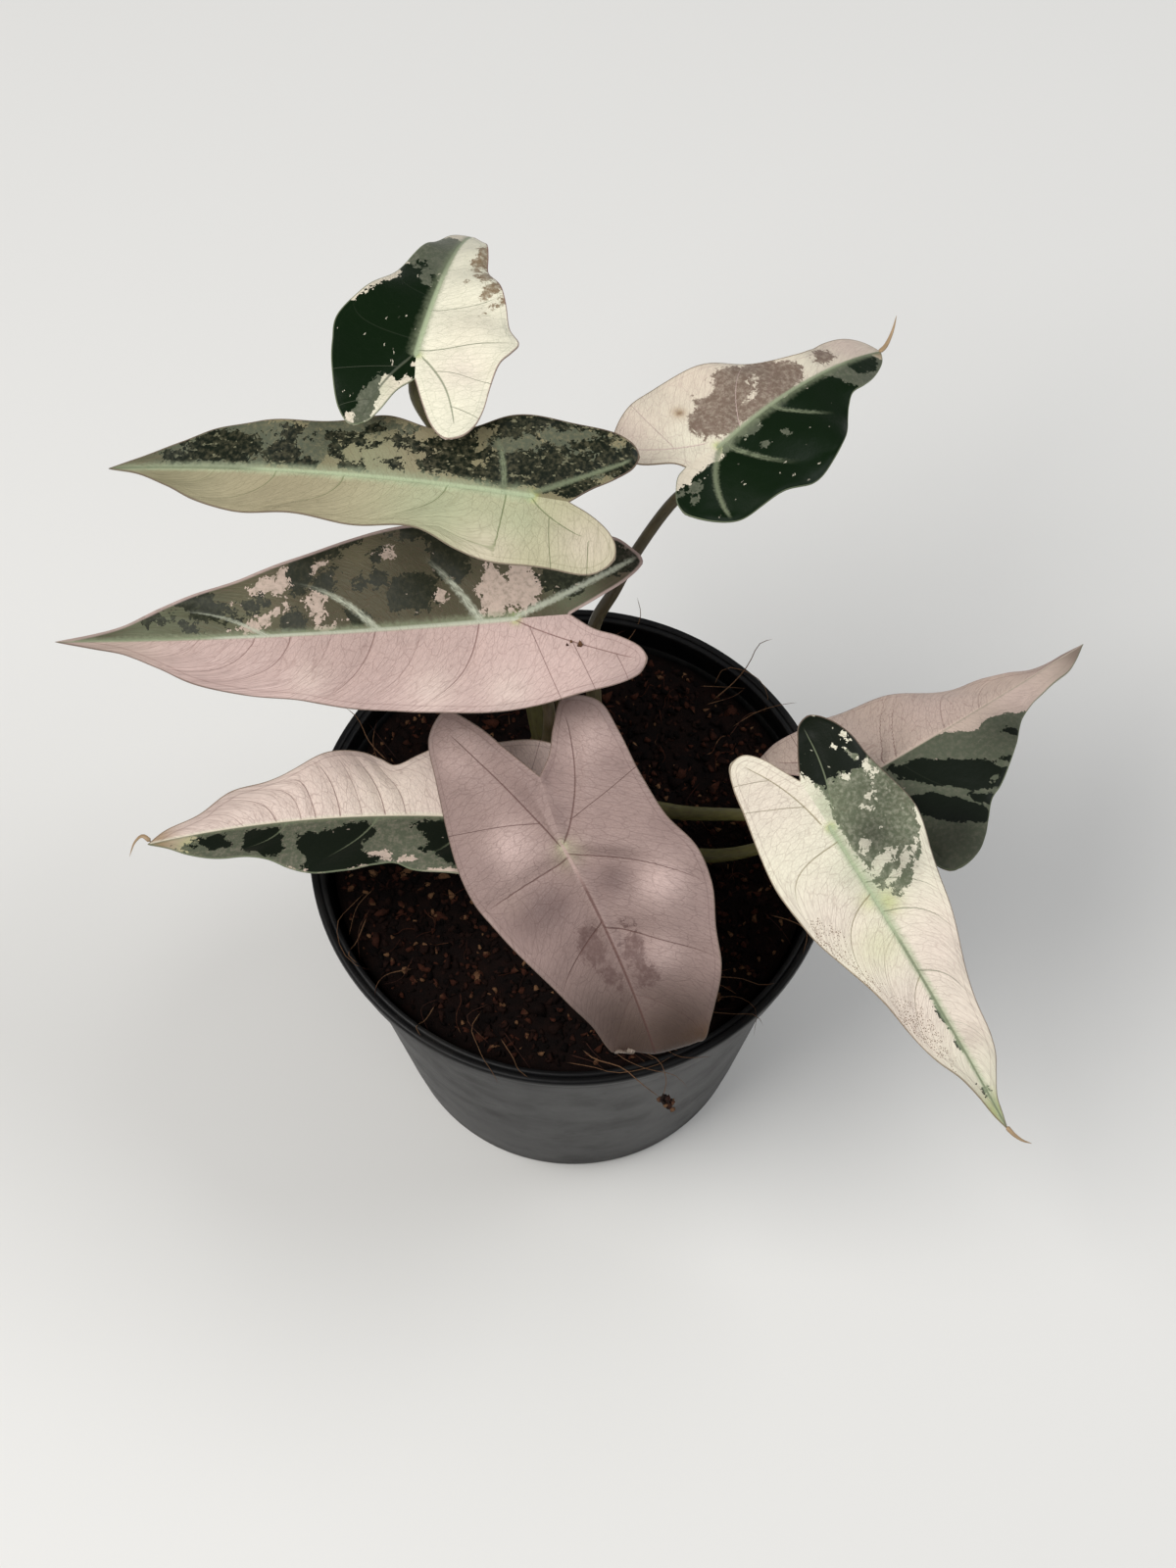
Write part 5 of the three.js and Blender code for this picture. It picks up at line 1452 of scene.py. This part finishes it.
def ring_edges(bm, radius, height, sides, x=0.0, y=0.0):
    """A circle of edges, lying flat."""
    made = bmesh.ops.create_circle(bm, cap_ends=False, segments=sides, radius=radius,
                                   matrix=Matrix.Translation((x, y, height)))["verts"]
    return list({edge for vert in made for edge in vert.link_edges})


def add_pot_floor(bm, pot, profile):
    """The floor's two faces round the drain holes, and the holes' walls."""
    plates = []
    for radius, height in (profile[0], profile[-1]):
        rings = [ring_edges(bm, radius, height, POT_SIDES)]
        for i in range(pot.drains):
            x, y = around((i + 0.5) / pot.drains * FULL_TURN, pot.drain_circle)
            rings.append(ring_edges(bm, pot.drain_radius, height, DRAIN_SIDES, x, y))
        edges = [edge for ring in rings for edge in ring]
        bmesh.ops.triangle_fill(bm, use_beauty=True, use_dissolve=False, edges=edges)
        plates.append(rings[1:])
    for low, high in zip(*plates):
        bmesh.ops.bridge_loops(bm, edges=low + high)


def make_pot():
    pot = bpy.context.scene.pot
    profile = pot_profile(pot)
    bm = bmesh.new()
    spun(bm, profile, POT_SIDES)
    add_pot_floor(bm, pot, profile)
    bmesh.ops.remove_doubles(bm, verts=bm.verts, dist=POT_MERGE_DISTANCE)
    bmesh.ops.recalc_face_normals(bm, faces=bm.faces)
    given = {"Plastic": tone_of(pot, "plastic"), "Dust": tone_of(pot, "dust")}
    material = surface("pot_plastic", "Nursery Plastic", given, specular=0.2)
    piece = new_piece("nursery_pot", bm, [material], "pot")
    piece.data.set_sharp_from_angle(angle=math.radians(SHARP_ANGLE))


def soft_noise(x, y, seed):
    """A smooth mix of waves in all directions, from about -1 to 1."""
    draw = np.random.default_rng(seed)
    total = np.zeros(np.shape(x))
    for _ in range(9):
        angle, phase = draw.uniform(0.0, FULL_TURN, 2)
        size = draw.uniform(0.7, 1.6)
        total = total + np.sin((x * math.cos(angle) + y * math.sin(angle)) * size + phase)
    return total / 4.0


def mix_height(x, y):
    """The height of the mix's surface, in metres, at places in metres."""
    mix = bpy.context.scene.potting_mix
    mound = mix.mound * (1.0 - (np.hypot(x, y) / POT_INSIDE_TOP) ** 2)
    lumps = 0.7 * soft_noise(x * 420.0, y * 420.0, LUMP_SEEDS[0])
    lumps = lumps + 0.4 * soft_noise(x * 1100.0, y * 1100.0, LUMP_SEEDS[1])
    return mix.level + mound + lumps * MM


def make_mix():
    """The bed of the mix, with chips and crumbs sunk into its surface and fibres lying on it."""
    mix = bpy.context.scene.potting_mix
    low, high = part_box("potting_mix")
    edge = (high.x - low.x) / 2
    bm = bmesh.new()
    layer = bm.loops.layers.float_vector.new("chip")
    profile = [(edge * i / MIX_RINGS, mix.level) for i in range(MIX_RINGS + 1)]
    profile += [(edge, POT_LEDGE), ((POT_INSIDE_FOOT + edge) / 2, (POT_LEDGE + low.z) / 2),
                (POT_INSIDE_FOOT, low.z), (0.0, low.z)]
    spun(bm, profile, MIX_SIDES)
    bmesh.ops.recalc_face_normals(bm, faces=bm.faces)
    for vert in bm.verts:
        if vert.co.z > POT_LEDGE + MM:
            vert.co.z = float(mix_height(vert.co.x, vert.co.y))
    paint(bm.faces, layer, (0.3, 0.0, 0.0))
    draw = np.random.default_rng(MIX_SEED)
    add_chips(bm, draw, edge)
    add_fibres(bm, draw, edge)
    new_piece("coir_mix_bed", bm, [coir_surface("coir_mix", 0.0, 0.1)], "potting_mix")


def add_chip(bm, layer, place, size, turn, tones):
    """One chip: a small lump pulled out of true, so that no two look alike."""
    made = bmesh.ops.create_icosphere(bm, subdivisions=1, radius=CHIP_RADIUS)["verts"]
    for k, vert in enumerate(made):
        pull = 1.0 + CHIP_PULL * math.sin(tones[0] * 97.0 + k * 2.3)
        vert.co = [part * pull * wide for part, wide in zip(vert.co, size)]
    bmesh.ops.transform(bm, matrix=Matrix.Translation(place) @ turn, verts=made)
    paint(faces_of(made), layer, tones)


def in_batches(bm, total, work):
    """Calls work(small, layer, i) for each i on small meshes, and adds those to bm, for speed."""
    for start in range(0, total, BATCH):
        small = bmesh.new()
        layer = small.loops.layers.float_vector.new("chip")
        for i in range(start, min(start + BATCH, total)):
            work(small, layer, i)
        mesh = bpy.data.meshes.new("batch")
        small.to_mesh(mesh)
        small.free()
        bm.from_mesh(mesh)
        bpy.data.meshes.remove(mesh)


def add_chips(bm, draw, edge):
    """Coir chips and crumbs, sunk a little into the surface and leaning all ways."""

    def one(small, layer, i):
        radius = edge * 0.975 * math.sqrt(draw.uniform())
        x, y = around(draw.uniform(0.0, FULL_TURN), radius)
        long = draw.uniform(0.8, 2.6) * MM * (1.9 if i % 12 == 0 else 1.0)
        if edge - radius < long:
            long *= 0.6
        size = (long, long * draw.uniform(0.4, 0.9), long * draw.uniform(0.3, 0.7))
        lift = float(mix_height(x, y)) + size[2] * draw.uniform(-0.15, 0.4)
        turn = Matrix.Rotation(draw.uniform(0.0, math.pi), 4, "Z")
        turn = turn @ Matrix.Rotation(draw.normal(0.0, 0.4), 4, "X")
        turn = turn @ Matrix.Rotation(draw.normal(0.0, 0.3), 4, "Y")
        add_chip(small, layer, (x, y, lift), size, turn, (draw.uniform(), draw.uniform(), 0.0))

    in_batches(bm, bpy.context.scene.plant_sizes.chips, one)


def add_fibres(bm, draw, edge):
    """Coir fibres that lie about on the mix in loose bends."""
    sizes = bpy.context.scene.plant_sizes

    def one(small, layer, i):
        reach = draw.uniform(5.0, 17.0) * MM
        at = around(draw.uniform(0.0, FULL_TURN), (edge - reach * 0.7) * math.sqrt(draw.uniform()))
        heading = draw.uniform(0.0, FULL_TURN)
        points = []
        for _ in range(5):
            points.append((*at, float(mix_height(*at)) + draw.uniform(0.4, 2.6) * MM))
            heading += draw.normal(0.0, 0.5)
            at = at + around(heading, reach / 5.0)
        thick = sizes.fibre_radius * draw.uniform(0.35, 1.0) / MM
        add_fibre(small, layer, np.array(points) / MM, thick, draw.uniform(0.55, 1.05))

    in_batches(bm, sizes.fibres, one)


def add_fibre(bm, layer, points, thick, tone_here):
    """One fibre through points in millimetres, thinner towards its end."""
    radii = thick * (1.0 - 0.6 * np.linspace(0.0, 1.0, FIBRE_STEPS + 1))
    paint(tube(bm, rounded_line(points, FIBRE_STEPS), radii, FIBRE_SIDES), layer, (tone_here, 0.5, 0.0))


# Rootlets over the rim: points as (angle round the pot, radius, height), in degrees and millimetres.
RIM_ROOTLETS = [
    [(-168, 60, 119), (-163, 66, 120.5), (-158, 71.5, 125.6), (-152, 73.5, 126), (-147, 72, 125.6),
     (-146, 68, 120)],
    [(-160, 62, 119), (-154, 68, 121), (-150, 72.5, 125.8), (-146, 71, 124.4)],
    [(-127, 62, 119), (-127.5, 68, 121.5), (-126, 72.6, 125.7), (-124, 74, 125.6)],
    [(-118, 56, 119), (-117, 63, 121), (-113, 68, 124), (-110, 72, 125.8), (-107, 75.4, 125),
     (-106, 76.2, 121)],
    [(-108, 62, 119), (-104, 68, 122), (-101, 72.6, 125.8), (-98, 74.6, 125.4)],
    [(-88, 62, 119), (-84, 67, 123), (-80, 72, 126), (-76, 78, 126), (-73, 83, 124)],
    [(-80, 64, 119), (-77, 69, 123.6), (-73, 74, 126), (-68, 78, 125), (-66, 82, 122)],
    [(-74, 62, 119), (-72, 68, 124), (-70, 73, 126.2), (-71, 79, 125.6), (-72, 83, 124)],
    [(-92, 66, 119), (-86, 70, 124), (-80, 73, 125.8), (-70, 73.4, 125.8), (-66, 71, 124)],
    [(-66, 64, 119), (-66, 70, 124), (-64, 74, 125.9), (-61, 77, 124)],
    [(-52, 58, 119), (-49, 62, 121), (-47, 68, 125), (-47, 74, 126), (-49, 79, 124.6)],
    [(-50, 52, 119), (-46, 58, 122), (-42, 64, 124), (-40, 70, 125.9), (-38, 73, 125.8)],
    [(-58, 60, 119), (-54, 66, 122.4), (-50, 71, 126), (-48, 75, 126), (-46, 78, 123)],
    [(50, 62, 119), (48, 70, 124), (47, 75, 127.4), (46, 80, 133), (45, 82, 138)],
    [(40, 60, 119), (37, 68, 123.4), (35, 74, 126.8), (33, 78, 128)],
    [(52, 66, 119), (49, 71, 124.6), (44, 74.4, 126), (39, 73, 125.8), (36, 69, 121)],
    [(79, 64, 119), (77, 70, 123), (75, 74.6, 126.6), (75, 78, 131)],
    [(152, 60, 119), (150, 67, 122), (149, 73, 126.6), (148, 77, 129)],
    [(160, 56, 119), (155, 62, 121.6), (151, 66, 123), (145, 69, 123.4)],
    [(10, 62, 119), (8, 68, 122.4), (5, 72.4, 125.8), (2, 74, 125.6)],
    [(110, 62, 119), (112, 69, 123), (114, 73, 125.9), (118, 74, 125.4)],
    [(-20, 60, 119), (-22, 67, 122.2), (-25, 72.6, 125.8), (-28, 74.4, 125)],
    [(178, 61, 119), (176, 68, 122.4), (173, 72.6, 125.8), (170, 74.2, 124.8)],
    [(-140, 58, 119), (-141, 66, 122), (-140, 71, 125), (-138, 73.6, 125.7)],
    [(24, 56, 119), (21, 63, 122), (18, 69, 124.4), (15, 72.6, 125.7)],
]
CLOD = (-71.5, 84.0, 123.4)
CLOD_CHIPS = 26
# Crumbs of the mix that lie on the near lobe of leaf c: (x, y, size).
CRUMB_LEAF = "c"
LEAF_CRUMBS = [(-16.6, 8.8, 1.5), (-14.2, 7.6, 0.8), (-13.6, 8.6, 0.7)]


def round_pot(angle, radius, height):
    """A place round the pot, from an angle in degrees, a radius and a height."""
    return (*around(math.radians(angle), radius), height)


def make_rootlets():
    """Fine roots and fibres that hang over the rim, one with a clod of mix on it, and crumbs on a leaf."""
    bm = bmesh.new()
    layer = bm.loops.layers.float_vector.new("chip")
    draw = np.random.default_rng(ROOTLET_SEED)
    for points in RIM_ROOTLETS:
        line = [round_pot(angle + draw.normal(0.0, 0.7), radius, height) for angle, radius, height in points]
        add_fibre(bm, layer, line, draw.uniform(0.12, 0.24), draw.uniform(0.85, 1.15))
        low = [round_pot(angle + draw.uniform(-3.0, 3.0), radius - 2.0, min(height, 121.0) + 0.6)
               for angle, radius, height in points[:3]]
        add_fibre(bm, layer, low, draw.uniform(0.1, 0.16), draw.uniform(0.6, 1.0))
    centre = Vector(round_pot(*CLOD)) * MM
    for _ in range(CLOD_CHIPS):
        turn = Matrix.Rotation(draw.uniform(0.0, 3.1), 4, "Z")
        turn = turn @ Matrix.Rotation(draw.uniform(0.0, 3.1), 4, "X")
        size = draw.uniform(0.9, 2.0, 3) * MM
        shift = Vector(draw.normal(0.0, 0.9 * MM, 3))
        add_chip(bm, layer, centre + shift, size, turn, (draw.uniform(0.3, 0.95), draw.uniform(), 0.0))
    leaf = next(leaf for leaf in LEAVES if leaf["name"] == CRUMB_LEAF)
    held = half_fields(leaf, leaf["left"], 1.0)
    for x, y, size in LEAF_CRUMBS:
        nearest = np.argmin(np.hypot(held["plan"][..., 0] - x, held["plan"][..., 1] - y))
        place = Vector(held["place"].reshape(-1, 3)[nearest]) + Vector((0.0, 0.0, 0.3 * size * MM))
        add_chip(bm, layer, place, (size * MM,) * 3, Matrix.Rotation(x, 4, "Y"), (0.9, draw.uniform(), 0.0))
    new_piece("rim_rootlets", bm, [coir_surface("rootlet_coir", 0.12, 0.25)])


# Stage


def make_stage():
    """The pale floor, the soft lights and the camera at the photograph's angle."""
    scene = bpy.context.scene
    stage = scene.stage
    scene.view_settings.view_transform = "Standard"
    material = bpy.data.materials.new("floor_paint")
    material.use_nodes = True
    shader = material.node_tree.nodes["Principled BSDF"]
    shader.inputs["Base Color"].default_value = tone_of(stage, "floor_colour")
    shader.inputs["Roughness"].default_value = 0.7
    bm = bmesh.new()
    bmesh.ops.create_grid(bm, x_segments=2, y_segments=2, size=FLOOR_HALF_SIZE)
    new_object("floor", bm, [material])

    world = bpy.data.worlds.new("surroundings")
    world.use_nodes = True
    back = world.node_tree.nodes["Background"]
    back.inputs["Color"].default_value = (0.94, 0.96, 1.0, 1.0)
    back.inputs["Strength"].default_value = stage.world_strength
    scene.world = world
    for name, place, size, power, colour in (
        ("key", (-0.8, -0.4, 1.55), 1.1, stage.key_power, (1.0, 0.985, 0.96)),
        ("fill", (1.05, 0.25, 1.6), 1.0, stage.fill_power, (0.97, 0.985, 1.0)),
    ):
        data = bpy.data.lights.new(name, "AREA")
        data.shape = "DISK"
        data.size = size
        data.energy = power
        data.color = colour
        light = bpy.data.objects.new(name, data)
        light.location = place
        light.rotation_euler = (Vector(LIGHT_AIM) - Vector(place)).to_track_quat("-Z", "Y").to_euler()
        scene.collection.objects.link(light)

    data = bpy.data.cameras.new("view")
    data.lens = stage.focal_length
    data.sensor_width = SENSOR_WIDTH
    camera = bpy.data.objects.new("view", data)
    camera.location = CAMERA_PLACE
    camera.rotation_euler = (math.radians(CAMERA_TILT), 0.0, 0.0)
    scene.collection.objects.link(camera)
    scene.camera = camera


class PLANT_OT_blades(bpy.types.Operator):
    """Makes the eight leaf blades with their markings and veins"""

    bl_idname = "plant.blades"
    bl_label = "Leaf blades"

    def execute(self, context):
        for leaf in LEAVES:
            make_blade(leaf)
        return {"FINISHED"}


class PLANT_OT_stalks(bpy.types.Operator):
    """Makes the eight leaf stalks"""

    bl_idname = "plant.stalks"
    bl_label = "Leaf stalks"

    def execute(self, context):
        for leaf in LEAVES:
            make_stalk(leaf)
        return {"FINISHED"}


class PLANT_OT_crown(bpy.types.Operator):
    """Makes the crown that the stalks grow from"""

    bl_idname = "plant.crown"
    bl_label = "Crown"

    def execute(self, context):
        make_crown()
        return {"FINISHED"}


class PLANT_OT_potting_mix(bpy.types.Operator):
    """Makes the coir mix with its chips and fibres"""

    bl_idname = "plant.potting_mix"
    bl_label = "Potting mix"

    def execute(self, context):
        make_mix()
        return {"FINISHED"}


class PLANT_OT_pot(bpy.types.Operator):
    """Makes the black nursery pot with its rolled lip and drain holes"""

    bl_idname = "plant.pot"
    bl_label = "Nursery pot"

    def execute(self, context):
        if context.scene.pot.lip_width >= context.scene.pot.rim_radius:
            raise ValueError("the pot's lip is wider than the pot")
        make_pot()
        return {"FINISHED"}


class PLANT_OT_rootlets(bpy.types.Operator):
    """Makes the rootlets and fibres that hang over the rim"""

    bl_idname = "plant.rootlets"
    bl_label = "Rootlets"

    def execute(self, context):
        make_rootlets()
        return {"FINISHED"}


class PLANT_OT_stage(bpy.types.Operator):
    """Makes the pale floor, the soft lights and the camera"""

    bl_idname = "plant.stage"
    bl_label = "Stage"

    def execute(self, context):
        make_stage()
        return {"FINISHED"}


class PLANT_PT_panel(bpy.types.Panel):
    """Lists the plant's pieces and their sizes and colours"""

    bl_idname = "PLANT_PT_panel"
    bl_label = "Potted alocasia"
    bl_space_type = "VIEW_3D"
    bl_region_type = "UI"
    bl_category = "Plant"

    def draw(self, context):
        layout = self.layout
        for operator in OPERATORS:
            layout.operator(operator.bl_idname)
        for group in ("pot", "potting_mix", "plant_sizes", "plant_colours", "stage"):
            box = layout.box()
            settings = getattr(context.scene, group)
            for name in settings.__annotations__:
                box.prop(settings, name)


OPERATORS = (PLANT_OT_pot, PLANT_OT_potting_mix, PLANT_OT_crown, PLANT_OT_stalks, PLANT_OT_blades,
             PLANT_OT_rootlets, PLANT_OT_stage)
SETTINGS = {
    "plant_colours": PlantColours, "plant_sizes": PlantSizes, "pot": PotProperties,
    "potting_mix": MixProperties, "stage": StageProperties,
}


def register():
    for cls in (*SETTINGS.values(), *OPERATORS, PLANT_PT_panel):
        bpy.utils.register_class(cls)
    for name, cls in SETTINGS.items():
        setattr(bpy.types.Scene, name, bpy.props.PointerProperty(type=cls))


def unregister():
    for name in SETTINGS:
        delattr(bpy.types.Scene, name)
    for cls in (PLANT_PT_panel, *OPERATORS, *SETTINGS.values()):
        bpy.utils.unregister_class(cls)


def main():
    register()
    bpy.ops.plant.stage()
    bpy.ops.plant.pot()
    bpy.ops.plant.potting_mix()
    bpy.ops.plant.crown()
    bpy.ops.plant.stalks()
    bpy.ops.plant.blades()
    bpy.ops.plant.rootlets()


if __name__ == "__main__":
    main()
